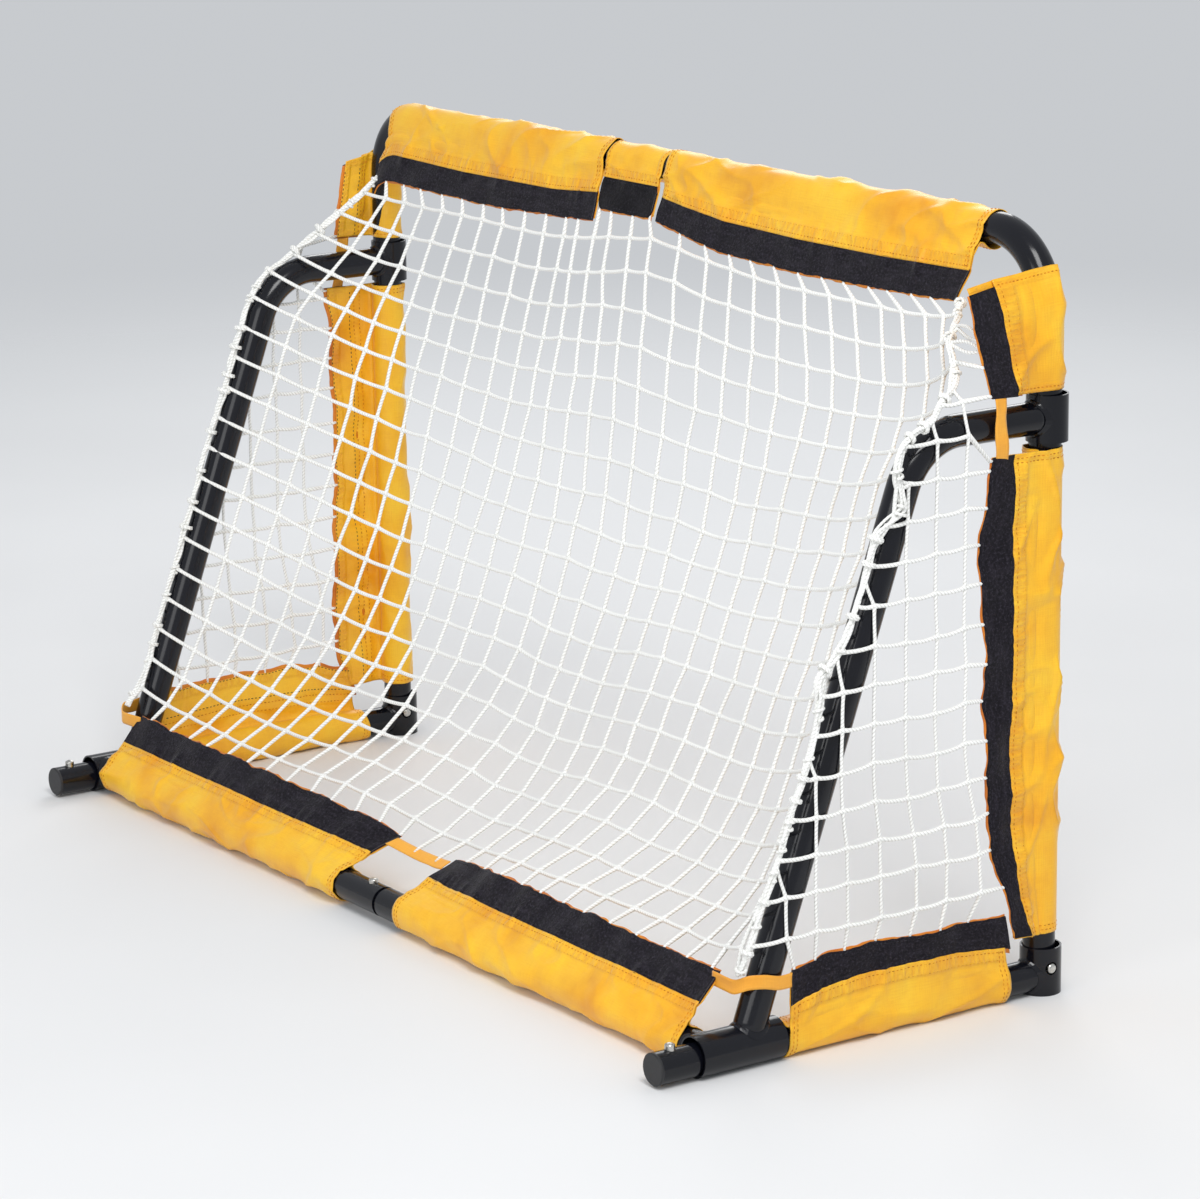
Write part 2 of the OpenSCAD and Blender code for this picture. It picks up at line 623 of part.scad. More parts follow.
// Corners of a crossing, by number: 0 to 3 round the back face, 4 to 7 round the front face
module net_back() {
    nc = back_cols + 1;
    nr = back_rows + 1;
    function at(i, j, k) = (j * nc + i) * 8 + k;
    function quad(a, b, c, d) = [[a, b, c], [a, c, d]];
    points = [for (j = [0 : nr - 1], i = [0 : nc - 1]) each crossing(i / back_cols, j / back_rows)];
    plates = [for (j = [0 : nr - 1], i = [0 : nc - 1])
        each concat(quad(at(i, j, 0), at(i, j, 1), at(i, j, 2), at(i, j, 3)),
                    quad(at(i, j, 7), at(i, j, 6), at(i, j, 5), at(i, j, 4)))];
    across = [for (j = [0 : nr - 1], i = [0 : nc - 2])
        each concat(quad(at(i, j, 1), at(i + 1, j, 0), at(i + 1, j, 3), at(i, j, 2)),
                    quad(at(i, j, 6), at(i + 1, j, 7), at(i + 1, j, 4), at(i, j, 5)),
                    quad(at(i, j, 5), at(i + 1, j, 4), at(i + 1, j, 0), at(i, j, 1)),
                    quad(at(i, j, 2), at(i + 1, j, 3), at(i + 1, j, 7), at(i, j, 6)))];
    down = [for (j = [0 : nr - 2], i = [0 : nc - 1])
        each concat(quad(at(i, j, 3), at(i, j, 2), at(i, j + 1, 1), at(i, j + 1, 0)),
                    quad(at(i, j + 1, 4), at(i, j + 1, 5), at(i, j, 6), at(i, j, 7)),
                    quad(at(i, j, 2), at(i, j, 6), at(i, j + 1, 5), at(i, j + 1, 1)),
                    quad(at(i, j + 1, 0), at(i, j + 1, 4), at(i, j, 7), at(i, j, 3)))];
    rims = concat(
        [for (i = [0 : nc - 1]) each concat(
            quad(at(i, 0, 0), at(i, 0, 4), at(i, 0, 5), at(i, 0, 1)),
            quad(at(i, nr - 1, 2), at(i, nr - 1, 6), at(i, nr - 1, 7), at(i, nr - 1, 3)))],
        [for (j = [0 : nr - 1]) each concat(
            quad(at(0, j, 3), at(0, j, 7), at(0, j, 4), at(0, j, 0)),
            quad(at(nc - 1, j, 1), at(nc - 1, j, 5), at(nc - 1, j, 6), at(nc - 1, j, 2)))]);
    color("#f2f1ec") polyhedron(points = points, faces = concat(plates, across, down, rims));
}

// Straight cord between two points of a flat net
module flat_cord(p, q) {
    d = q - p;
    translate(p) rotate(atan2(d[1], d[0])) translate([0, -cord_d / 2]) square([norm(d), cord_d]);
}

side_pitch_y = (seam_line[4][0] - side_front_y) / side_cols;
side_pitch_z = (seam_line[0][1] - side_low_z) / side_rows;

module net_side(s) {
    upward = [for (p = side_line) [p[1], p[0]]];
    color("#f2f1ec") translate([s * side_x - cord_d / 2, 0, 0]) in_side_plane()
        linear_extrude(cord_d) {
            for (j = [0 : side_rows - 1]) {
                z = side_low_z + cord_d / 2 + j * side_pitch_z;
                flat_cord([side_front_y, z], [lookup(z + cord_d / 2, upward), z]);
            }
            for (i = [0 : side_cols - 1]) {
                y = side_front_y + cord_d / 2 + i * side_pitch_y;
                flat_cord([y, side_low_z], [y, lookup(y + cord_d / 2, side_line)]);
            }
        }
}

// Eight points round the seam at a place in Y and Z, square to its run
function seam_ring(s, p, run) =
    let(across = [-run[1], run[0]] / norm(run), r = seam_d / 2)
    [for (a = [0 : 45 : 315]) let(q = p + r * sin(a) * across) [s * seam_x + r * cos(a), q[0], q[1]]];

module seam_cord(s) {
    runs = [for (i = [1 : len(seam_line) - 1]) unit(seam_line[i] - seam_line[i - 1])];
    n = len(runs);
    color("#eeede6") skin([for (i = [0 : n])
        seam_ring(s, seam_line[i], runs[max(0, i - 1)] + runs[min(i, n - 1)])]);
}

// ---------------------------------------------------------------- border tape

module net_straps() {
    out_x = half_span + tube_r + seam_gap;
    low_z = base_z + strip_reach - tape_w;
    back_y = rear_y + on_rear(strip_reach, strip_mid)[0];
    color("#f0a020") for (s = [LEFT, RIGHT]) at_side(s) translate([-out_x - tape_t, 0, 0]) {
        translate([0, upright_y + strip_reach - tape_w, lower_top_z])
            cube([tape_t, tape_w, upper_low_z - lower_top_z]);
        translate([0, base_rear_y, low_z]) cube([tape_t, back_y - base_rear_y, tape_w]);
        translate([0, back_y - tape_t, low_z]) cube([out_x + tape_t - rear_end_x, tape_t, tape_w]);
    }
    tape_at = on_rear(neck_l + 4, strip_mid - tape_t / 2);
    color("#f0a020") translate([-rear_bare_left, rear_y + tape_at[0], rear_z + tape_at[1]])
        rotate([rear_strip_tilt, 0, 0])
            cube([rear_bare_left + rear_bare_right, tape_t, tape_w]);
}

// ---------------------------------------------------------------- nodes

upright(LEFT);  // upright_left
upright(RIGHT);  // upright_right
foot_collar(LEFT);  // foot_collar_left
foot_collar(RIGHT);  // foot_collar_right
base_tube(LEFT);  // base_tube_left
base_tube(RIGHT);  // base_tube_right
top_collar(LEFT);  // top_collar_left
top_collar(RIGHT);  // top_collar_right
side_brace(LEFT);  // side_brace_left
side_brace(RIGHT);  // side_brace_right
rear_collar(LEFT);  // rear_collar_left
rear_collar(RIGHT);  // rear_collar_right
rear_bar(LEFT);  // rear_bar_left
rear_bar(RIGHT);  // rear_bar_right
end_cap(LEFT);  // end_cap_left
end_cap(RIGHT);  // end_cap_right
welds(LEFT);  // welds_left
welds(RIGHT);  // welds_right
foot_button(LEFT, LEFT);  // foot_button_left_outer
foot_button(LEFT, RIGHT);  // foot_button_left_inner
foot_button(RIGHT, RIGHT);  // foot_button_right_outer
foot_button(RIGHT, LEFT);  // foot_button_right_inner
base_button(LEFT);  // base_button_left
base_button(RIGHT);  // base_button_right
rear_bar_button();
crossbar_button();
for (s = [LEFT, RIGHT]) translate([s * half_span, upright_y, foot_button_z]) foot_spring();  // foot_springs
for (s = [LEFT, RIGHT]) translate([s * half_span, base_button_y, base_z])  // base_springs
        rotate(-90) leaf_spring(bore_r);
translate([rear_button_x, rear_y, rear_z]) leaf_spring(spigot_bore);  // rear_bar_spring
translate([crossbar_button_x, upright_y, crossbar_z]) rotate([180, 0, 0])  // crossbar_spring
        leaf_spring(spigot_bore);
crossbar_sleeve(-straight_x, 2);  // crossbar_sleeve_left
sleeve([for (x = bend_spread(right_start_x, straight_x, sleeve_steps)) cross_station(x)],  // crossbar_sleeve_right
           right_start_x, straight_x);
sleeve([for (x = spread(flap_start_x, flap_start_x + flap_w, sleeve_steps)) cross_station(x)],  // crossbar_flap
           flap_start_x, flap_start_x + flap_w, flap_neck_l);
upper_sleeve(LEFT);  // upper_sleeve_left
upper_sleeve(RIGHT);  // upper_sleeve_right
upright_sleeve(LEFT, lower_low_z, lower_top_z, sleeve_steps);  // lower_sleeve_left
upright_sleeve(RIGHT, lower_low_z, lower_top_z, sleeve_steps);  // lower_sleeve_right
sleeve([for (y = spread(base_front_y, base_rear_y, 5)) base_station(y, LEFT)],  // base_sleeve_left
           base_front_y, base_rear_y);
sleeve([for (y = spread(base_front_y, base_rear_y, 5)) base_station(y, RIGHT)],  // base_sleeve_right
           base_front_y, base_rear_y);
sleeve([for (x = spread(-rear_end_x, -rear_bare_left, sleeve_steps)) rear_station(x)],  // rear_sleeve_left
           -rear_end_x, -rear_bare_left);
sleeve([for (x = spread(rear_bare_right, rear_end_x, sleeve_steps)) rear_station(x)],  // rear_sleeve_right
           rear_bare_right, rear_end_x);
crossbar_strip(-straight_x, 2);  // crossbar_strip_left
strip([for (x = bend_spread(right_start_x, straight_x, strip_steps - 3)) cross_station(x)],  // crossbar_strip_right
          right_start_x, straight_x);
strip([for (x = spread(flap_start_x, flap_start_x + flap_w, 4)) cross_station(x)],  // flap_patch
          flap_start_x, flap_start_x + flap_w, flap_neck_l);
upright_strip(LEFT, upper_low_z, upper_top_z - strip_w / 2, 4);  // upper_strip_left
upright_strip(RIGHT, upper_low_z, upper_top_z - strip_w / 2, 4);  // upper_strip_right
upright_strip(LEFT, lower_strip_z, lower_top_z, strip_steps);  // lower_strip_left
upright_strip(RIGHT, lower_strip_z, lower_top_z, strip_steps);  // lower_strip_right
strip([for (y = spread(base_front_y + strip_w, base_rear_y, 7)) base_station(y, LEFT)],  // base_strip_left
          base_front_y + strip_w, base_rear_y);
strip([for (y = spread(base_front_y + strip_w, base_rear_y, 7)) base_station(y, RIGHT)],  // base_strip_right
          base_front_y + strip_w, base_rear_y);
strip([for (x = spread(-rear_end_x, -rear_bare_left, strip_steps)) rear_station(x)],  // rear_strip_left
          -rear_end_x, -rear_bare_left);
strip([for (x = spread(rear_bare_right, rear_end_x, strip_steps)) rear_station(x)],  // rear_strip_right
          rear_bare_right, rear_end_x);
net_back();
net_side(LEFT);  // net_side_left
net_side(RIGHT);  // net_side_right
seam_cord(LEFT);  // seam_cord_left
seam_cord(RIGHT);  // seam_cord_right
net_straps();
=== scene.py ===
import math
import bpy
import numpy as np
from mathutils import Matrix, Vector


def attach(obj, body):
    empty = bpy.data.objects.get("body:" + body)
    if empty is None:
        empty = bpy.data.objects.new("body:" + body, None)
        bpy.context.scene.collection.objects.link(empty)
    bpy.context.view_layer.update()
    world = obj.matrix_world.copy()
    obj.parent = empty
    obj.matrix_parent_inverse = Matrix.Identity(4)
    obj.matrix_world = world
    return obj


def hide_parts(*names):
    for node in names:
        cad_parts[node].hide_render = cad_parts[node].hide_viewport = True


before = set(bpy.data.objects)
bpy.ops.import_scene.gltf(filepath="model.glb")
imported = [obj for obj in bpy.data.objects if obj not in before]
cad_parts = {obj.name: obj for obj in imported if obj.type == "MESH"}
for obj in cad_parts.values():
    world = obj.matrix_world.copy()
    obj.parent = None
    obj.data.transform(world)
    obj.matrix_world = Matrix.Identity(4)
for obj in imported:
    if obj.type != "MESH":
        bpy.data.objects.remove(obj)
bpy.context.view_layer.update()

MM = 0.001

# ---------- camera

def add_camera():
    eye = Vector((-3.634, 2.370, 1.374))
    yaw, pitch, roll = math.radians(124.32), math.radians(-13.77), math.radians(-0.75)
    fwd = Vector((math.sin(yaw) * math.cos(pitch), math.cos(yaw) * math.cos(pitch), math.sin(pitch)))
    right = Vector((math.cos(yaw), -math.sin(yaw), 0))
    up = right.cross(fwd)
    c, s = math.cos(roll), math.sin(roll)
    r2, u2 = c * right + s * up, -s * right + c * up
    data = bpy.data.cameras.new("camera")
    data.sensor_fit, data.sensor_width, data.lens = "HORIZONTAL", 36, 127.9
    data.clip_start, data.clip_end = 0.1, 100
    cam = bpy.data.objects.new("camera", data)
    m = Matrix((r2, u2, -fwd)).transposed().to_4x4()
    m.translation = eye
    cam.matrix_world = m
    bpy.context.scene.collection.objects.link(cam)
    bpy.context.scene.camera = cam

add_camera()

# ---------- sizes of the frame, in mm

HALF_SPAN, TUBE_R, BEND_R, CROSS_Z = 593.5, 16.0, 72.0, 746.0
UPRIGHT_Y, COLLAR_Y = -220.0, -222.5
BASE_Z, REAR_Z, REAR_Y = 18.0, 20.5, 179.0
STRAIGHT_X = HALF_SPAN - BEND_R
BRACE_TOP, BRACE_FOOT = np.array([-65.0, 574.0]), np.array([138.0, 20.5])     # each (y, z)
SLOPE = math.atan2(BRACE_TOP[1] - BRACE_FOOT[1], BRACE_FOOT[0] - BRACE_TOP[0])
BEND_CENTRE = BRACE_TOP - np.array([BEND_R * math.tan(SLOPE / 2), BEND_R])

# ---------- sizes of the soft parts, in mm

NECK, STRIP_W, FLAP_NECK = 36.0, 36.0, 22.0
REACH = NECK + STRIP_W
WRAP_R = 17.5                    # outer face of the cloth on a tube
LAYER = 1.9                      # from the outer face of one edge to that of the other
CLOTH_T, LINING_T, CLOTH_STEP = 0.8, 0.7, 2.2
CLOTH_LOW = 0.4                  # lowest height of the cloth over the ground
STITCH, STITCH_GAP, STITCH_W, STITCH_H = 3.1, 1.7, 1.0, 0.45
TAPE_W, TAPE_T, TAPE_WAVE = 14, 1.1, 0.8
CORD_R = 2.0
TILT = math.radians(75)          # of the crossbar's strips, downward from level
LEAN = math.radians(38)          # of the rear strips where the net's own curve is worked out
NET_LIFT = 16.8                  # the net's edge cords off the middle of the tubes

# ---------- mesh helpers

def mesh_object(name, verts, faces, mat, uv=None, co=None, smooth=True):
    me = bpy.data.meshes.new(name)
    me.from_pydata((np.asarray(verts, float) * MM).tolist(), [], [tuple(map(int, f)) for f in faces])
    me.update()
    if uv is not None:
        layer = me.uv_layers.new(name="UVMap")
        vi = np.empty(len(me.loops), np.int32)
        me.loops.foreach_get("vertex_index", vi)
        layer.data.foreach_set("uv", np.asarray(uv, np.float32)[vi].ravel())
    if co is not None:
        a = me.attributes.new("co", "FLOAT_VECTOR", "POINT")
        a.data.foreach_set("vector", (np.asarray(co, np.float32) * MM).ravel())
    me.materials.append(mat)
    me.polygons.foreach_set("use_smooth", [smooth] * len(me.polygons))
    ob = bpy.data.objects.new(name, me)
    bpy.context.scene.collection.objects.link(ob)
    return ob


def solidify(ob, t, offset=-1.0):
    m = ob.modifiers.new("thick", "SOLIDIFY")
    m.thickness, m.offset, m.use_even_offset = t * MM, offset, False


class Build:
    """Collects parts of one mesh."""

    def __init__(self):
        self.v, self.f, self.uv, self.co, self.n = [], [], [], [], 0

    def add(self, verts, faces, uv, co):
        self.v.append(verts)
        self.f.extend([tuple(int(i) + self.n for i in q) for q in faces])
        self.uv.append(uv)
        self.co.append(co)
        self.n += len(verts)

    def done(self, name, mat):
        return mesh_object(name, np.vstack(self.v), self.f, mat, np.vstack(self.uv), np.vstack(self.co))


def grid_faces(n, m, wrap=False, flip=False):
    out = []
    for i in range(n - 1):
        for j in range(m if wrap else m - 1):
            k = (j + 1) % m
            q = (i * m + j, i * m + k, (i + 1) * m + k, (i + 1) * m + j)
            out.append(q[::-1] if flip else q)
    return out


def caps(n, m):
    """The two end faces of n rings of m points."""
    return [tuple(range(m)), tuple((n - 1) * m + j for j in range(m))[::-1]]


def value_noise(x, y, seed):
    tab = np.random.RandomState(seed).rand(64, 64) * 2 - 1
    xi, yi = np.floor(x).astype(int), np.floor(y).astype(int)
    fx, fy = x - xi, y - yi
    fx, fy = fx * fx * (3 - 2 * fx), fy * fy * (3 - 2 * fy)
    g = lambda a, b: tab[a % 64, b % 64]
    top = g(xi, yi) * (1 - fx) + g(xi + 1, yi) * fx
    low = g(xi, yi + 1) * (1 - fx) + g(xi + 1, yi + 1) * fx
    return top * (1 - fy) + low * fy


def noise1(x, seed):
    return value_noise(x, x * 0, seed)


def fbm(x, y, seed):
    return value_noise(x, y, seed) + 0.5 * value_noise(x * 2 + 7.3, y * 2 + 3.1, seed + 1)


def ridge(x, y, seed):
    return (1 - np.abs(np.clip(value_noise(x, y, seed) * 1.6, -1, 1))) ** 2


def smooth(a, b, x):
    t = np.clip((np.asarray(x, float) - a) / (b - a), 0, 1)
    return t * t * (3 - 2 * t)


def unit(v):
    v = np.asarray(v, float)
    return v / np.maximum(np.linalg.norm(v, axis=-1, keepdims=True), 1e-9)


def catmull(points, step):
    """Points along a smooth curve through the given ones, about step apart."""
    p = np.asarray(points, float)
    p = np.vstack([2 * p[0] - p[1], p, 2 * p[-1] - p[-2]])
    out = []
    for i in range(1, len(p) - 2):
        a, b, c, d = p[i - 1:i + 3]
        n = max(2, int(np.linalg.norm(c - b) / step))
        t = np.arange(n)[:, None] / n
        out.append(0.5 * (2 * b + (c - a) * t + (2 * a - 5 * b + 4 * c - d) * t ** 2
                          + (3 * b - a - 3 * c + d) * t ** 3))
    return np.vstack(out + [p[-2][None]])


def run_along(path):
    return np.r_[0, np.cumsum(np.linalg.norm(np.diff(path, axis=0), axis=1))]


def interp3(x, at, rows):
    return np.stack([np.interp(x, at, rows[:, k]) for k in range(3)], -1)


def maps(u, v, s, run, mask=0.0):
    """Texture places (u, v) of a grid of points, and its places (s, run, mask) for the weave; the cloth
    shader raises gathers by mask and paints shade in their hollows.
    """
    grid = lambda a, b: np.meshgrid(a, b, indexing="ij")
    flat = grid(s, run)
    return (np.stack(grid(u, v), -1).reshape(-1, 2),
            np.stack([*flat, np.broadcast_to(mask, flat[0].shape)], -1).reshape(-1, 3))


def uv_row(k, total):
    """The rows of the texture that cord k of total takes."""
    return k / total, (k + 0.9) / total


def frames_along(path):
    """Two directions square to the path and to each other, carried along it without twist."""
    t = unit(np.gradient(path, axis=0))
    n = np.empty_like(t)
    last = np.array([0.3, 0.1, 1.0])
    for i, d in enumerate(t):
        n[i] = last = unit(last - (last @ d) * d)
    return n, np.cross(t, n)


def sweep(build, path, radius, sides=8, row=(0, 1)):
    """A round bar with closed ends along the path."""
    path = np.asarray(path, float)
    n, b = frames_along(path)
    r = np.broadcast_to(np.asarray(radius, float), (len(path),))
    ang = np.arange(sides) * 2 * math.pi / sides
    ring = n[:, None] * np.cos(ang)[:, None] + b[:, None] * np.sin(ang)[:, None]
    verts = (path[:, None] + ring * r[:, None, None]).reshape(-1, 3)
    s = run_along(path)
    co = np.stack([np.repeat(s, sides), np.tile(ang, len(path)) * np.repeat(r, sides),
                   np.zeros(len(verts))], 1)
    uv = np.stack([np.repeat(s / max(s[-1], 1e-6), sides),
                   row[0] + (row[1] - row[0]) * np.tile(np.arange(sides) / sides, len(path))], 1)
    build.add(verts, grid_faces(len(path), sides, True, True) + caps(len(path), sides), uv, co)


def dashes(build, line, normal):
    """Stitches along a line of points, each a low ridge on the cloth."""
    s = run_along(line)
    count = int(s[-1] // (STITCH + STITCH_GAP))
    if count < 1:
        return
    start = np.arange(count) * (STITCH + STITCH_GAP) + STITCH_GAP / 2
    a, b = interp3(start, s, line), interp3(start + STITCH, s, line)
    n = unit(interp3(start + STITCH / 2, s, normal))
    d = unit(b - a)
    side = np.cross(n, d) * STITCH_W / 2
    q, sink, top = d * (STITCH * 0.22), n * -0.15, n * STITCH_H
    verts = np.stack([a + sink, a + q - side + sink, a + q + side + sink, a + q + top,
                      b - q - side + sink, b - q + side + sink, b - q + top, b + sink], 1).reshape(-1, 3)
    base = [(0, 1, 3), (0, 3, 2), (1, 4, 6, 3), (3, 6, 5, 2), (4, 7, 6), (6, 7, 5)]
    faces = [tuple(i * 8 + j for j in f) for i in range(count) for f in base]
    k = np.repeat(np.arange(count), 8)
    uv = np.stack([(k % 64) / 64 + 0.004, (k // 64) / 64 % 1 + 0.004], 1)
    build.add(verts, faces, uv, np.stack([k * 4.0, k * 0.0, k * 0.0], 1))

# ---------- materials

def srgb(r, g, b):
    f = lambda c: c / 12.92 if c <= 0.04045 else ((c + 0.055) / 1.055) ** 2.4
    return (f(r / 255), f(g / 255), f(b / 255), 1)


class Nodes:
    def __init__(self, name):
        self.mat = bpy.data.materials.new(name)
        self.mat.use_nodes = True
        self.t = self.mat.node_tree
        self.b = self.t.nodes["Principled BSDF"]

    def new(self, kind, **props):
        n = self.t.nodes.new(kind)
        for k, v in props.items():
            setattr(n, k, v)
        return n

    def link(self, a, b):
        self.t.links.new(a, b)

    def value(self, name, v):
        self.b.inputs[name].default_value = v

    def sheen(self, weight, rough, specular):
        self.value("Sheen Weight", weight)
        self.value("Sheen Roughness", rough)
        self.value("Specular IOR Level", specular)

    def coords(self, scale=(1, 1, 1), kind="Object"):
        if kind == "co":
            src = self.new("ShaderNodeAttribute", attribute_name="co").outputs["Vector"]
        else:
            src = self.new("ShaderNodeTexCoord").outputs[kind]
        m = self.new("ShaderNodeMapping")
        m.inputs["Scale"].default_value = scale
        self.link(src, m.inputs["Vector"])
        return m.outputs["Vector"]

    def noise(self, vec, scale, detail=3, rough=0.55):
        n = self.new("ShaderNodeTexNoise")
        n.inputs["Scale"].default_value = scale
        n.inputs["Detail"].default_value = detail
        n.inputs["Roughness"].default_value = rough
        self.link(vec, n.inputs["Vector"])
        return n.outputs["Fac"]

    def wave(self, vec, scale, direction="X"):
        n = self.new("ShaderNodeTexWave", bands_direction=direction)
        n.inputs["Scale"].default_value = scale
        self.link(vec, n.inputs["Vector"])
        return n.outputs["Fac"]

    def ramp(self, fac, stops):
        n = self.new("ShaderNodeValToRGB")
        e = n.color_ramp.elements
        while len(e) < len(stops):
            e.new(0.5)
        for k, (pos, col) in enumerate(stops):
            e[k].position = pos
            e[k].color = col if len(col) == 4 else (*col, 1)
        self.link(fac, n.inputs["Fac"])
        return n.outputs["Color"]

    def mask(self, fac, lo, hi):
        return self.ramp(fac, [(lo, (0, 0, 0)), (hi, (1, 1, 1))])

    def grey(self, fac, a, b, lo=0.0, hi=1.0):
        n = self.new("ShaderNodeMapRange")
        for k, v in zip(("From Min", "From Max", "To Min", "To Max"), (lo, hi, a, b)):
            n.inputs[k].default_value = v
        self.link(fac, n.inputs["Value"])
        return n.outputs["Result"]

    def math(self, op, a, b):
        n = self.new("ShaderNodeMath", operation=op)
        for k, v in enumerate((a, b)):
            if isinstance(v, (int, float)):
                n.inputs[k].default_value = v
            else:
                self.link(v, n.inputs[k])
        return n.outputs[0]

    def mix(self, fac, a, b):
        n = self.new("ShaderNodeMix", data_type="RGBA")
        for name, kind, v in (("Factor", "VALUE", fac), ("A", "RGBA", a), ("B", "RGBA", b)):
            i = next(s for s in n.inputs if (s.name, s.type) == (name, kind))
            if isinstance(v, tuple):
                i.default_value = v
            else:
                self.link(v, i)
        return next(s for s in n.outputs if s.type == "RGBA")

    def bump(self, height, strength, distance, under=None):
        n = self.new("ShaderNodeBump")
        n.inputs["Strength"].default_value = strength
        n.inputs["Distance"].default_value = distance * MM
        self.link(height, n.inputs["Height"])
        if under is not None:
            self.link(under, n.inputs["Normal"])
        return n.outputs["Normal"]

    def out(self, color=None, rough=None, normal=None):
        for name, v in (("Base Color", color), ("Roughness", rough), ("Normal", normal)):
            if v is not None:
                self.link(v, self.b.inputs[name])
        return self.mat


def tube_material():
    m = Nodes("tube_black")
    o = m.coords()
    cloud = m.noise(o, 6, 4)
    fine = m.noise(o, 240, 2)
    dust = m.noise(o, 55, 6, 0.7)
    col = m.ramp(cloud, [(0.3, srgb(9, 10, 16)), (0.7, srgb(15, 16, 24))])
    speck = m.mask(dust, 0.66, 0.80)
    col = m.mix(m.math("MULTIPLY", speck, 0.12), col, srgb(92, 88, 84))
    scratch = m.noise(m.coords((60, 60, 900)), 1.2, 2)
    lines = m.mask(scratch, 0.70, 0.78)
    col = m.mix(m.math("MULTIPLY", lines, 0.10), col, srgb(110, 108, 112))
    rough = m.math("ADD", m.grey(cloud, 0.10, 0.22, 0.25, 0.75), m.math("MULTIPLY", speck, 0.2))
    m.value("Specular IOR Level", 0.38)
    n = m.bump(fine, 0.25, 0.05)
    n = m.bump(cloud, 0.3, 0.4, n)
    return m.out(col, rough, n)


def cap_material():
    m = Nodes("cap_black")
    o = m.coords()
    grain = m.noise(o, 900, 2)
    cloud = m.noise(o, 60, 4)
    col = m.ramp(cloud, [(0.3, srgb(24, 24, 26)), (0.7, srgb(40, 40, 43))])
    return m.out(col, m.grey(cloud, 0.42, 0.62), m.bump(grain, 0.5, 0.08))


def metal_material(name, tint, rough):
    m = Nodes(name)
    o = m.coords()
    cloud = m.noise(o, 180, 4)
    fine = m.noise(m.coords((1, 1, 12)), 420, 2)
    col = m.ramp(cloud, [(0.3, srgb(*[int(c * 0.8) for c in tint])), (0.65, srgb(*tint))])
    m.value("Metallic", 1.0)
    return m.out(col, m.grey(cloud, rough - 0.08, rough + 0.14), m.bump(fine, 0.3, 0.04))


def cloth_material(name, deep, mid, light, weave=1.15, gloss=0.5, patches=True):
    """Coated woven cloth; weave is the pitch of its threads in mm."""
    m = Nodes(name)
    flat = m.coords(kind="co")
    warp, weft = (m.wave(flat, 0.16 / (weave * MM), way) for way in "XY")
    cell = m.math("MULTIPLY", warp, weft)
    slubs = [m.math("MULTIPLY", m.noise(m.coords(way, "co"), 1.0, 3), 0.5)
             for way in ((900, 70, 1), (70, 900, 1))]
    cloud = m.noise(m.coords(), 17, 4, 0.5)
    broad = m.noise(m.coords(), 5.5, 3, 0.5)
    col = m.ramp(cloud, [(0.2, deep), (0.5, mid), (0.85, light)])
    if patches:
        warm = m.mask(broad, 0.38, 0.62)
        col = m.mix(m.math("MULTIPLY", warm, 0.4), col, light)
    both = m.math("ADD", *slubs)
    col = m.mix(m.grey(both, 0.0, 0.22, 0.55, 0.35), col, deep)
    col = m.mix(m.grey(cell, 0.08, 0.0), col, deep)
    parts = m.new("ShaderNodeSeparateXYZ")
    m.link(m.new("ShaderNodeAttribute", attribute_name="co").outputs["Vector"], parts.inputs[0])
    hem = parts.outputs["Z"]
    gathers = m.noise(m.coords((230, 95, 0), "co"), 1.0, 2, 0.6)
    # painted shade: the hem bands are darkened towards the deep colour, most in the hollows of their gathers
    col = m.mix(m.math("MULTIPLY", hem, m.grey(gathers, 0.4, 0.0, 0.35, 0.62)), col, deep)
    m.sheen(0.2, 0.35, 0.5)
    n = m.bump(m.math("ADD", warp, weft), 0.22, 0.12)
    n = m.bump(both, 0.25, 0.25, n)
    n = m.bump(m.math("MULTIPLY", gathers, hem), 1.0, 1.8, n)
    return m.out(col, m.grey(cloud, gloss - 0.08, gloss + 0.10), n)


def fuzz_material(name, dark, mid, light):
    """Loop pile of a hook-and-loop strip."""
    m = Nodes(name)
    flat = m.coords(kind="co")
    pile = m.noise(flat, 900, 3, 0.7)
    tufts = m.noise(flat, 330, 4, 0.75)
    crush = m.noise(m.coords((9, 30, 1), "co"), 4.5, 4, 0.6)
    col = m.ramp(tufts, [(0.32, dark), (0.52, mid), (0.74, light)])
    rub = m.mask(crush, 0.48, 0.72)
    col = m.mix(m.math("MULTIPLY", rub, 0.30), col, light)
    col = m.mix(m.grey(pile, 0.45, 0.0, 0.35, 0.6), col, dark)
    lint = m.mask(m.noise(flat, 150, 2, 0.9), 0.755, 0.79)
    col = m.mix(m.math("MULTIPLY", lint, 0.5), col, srgb(150, 140, 132))
    m.sheen(0.12, 0.4, 0.15)
    n = m.bump(tufts, 0.9, 0.8)
    n = m.bump(pile, 0.7, 0.3, n)
    return m.out(col, m.grey(crush, 0.82, 0.97), n)


def cord_material(name, low, high, pitch=3.2):
    """Twisted cord; pitch is that of its strands in mm."""
    m = Nodes(name)
    flat = m.coords(kind="co")
    turn = m.new("ShaderNodeVectorRotate", rotation_type="Z_AXIS")
    turn.inputs["Angle"].default_value = math.radians(38)
    m.link(flat, turn.inputs["Vector"])
    strand = m.wave(turn.outputs["Vector"], 1 / (pitch * MM) * 0.32, "X")
    hair = m.noise(m.coords(), 900, 3)
    cloud = m.noise(m.coords(), 14, 4)
    col = m.ramp(strand, [(0.0, low), (0.55, high)])
    col = m.mix(m.grey(cloud, 0.0, 0.3, 0.45, 0.75), col, low)
    m.value("Specular IOR Level", 0.25)
    n = m.bump(strand, 0.35, 0.3)
    n = m.bump(hair, 0.3, 0.12, n)
    return m.out(col, m.grey(hair, 0.7, 0.9), n)


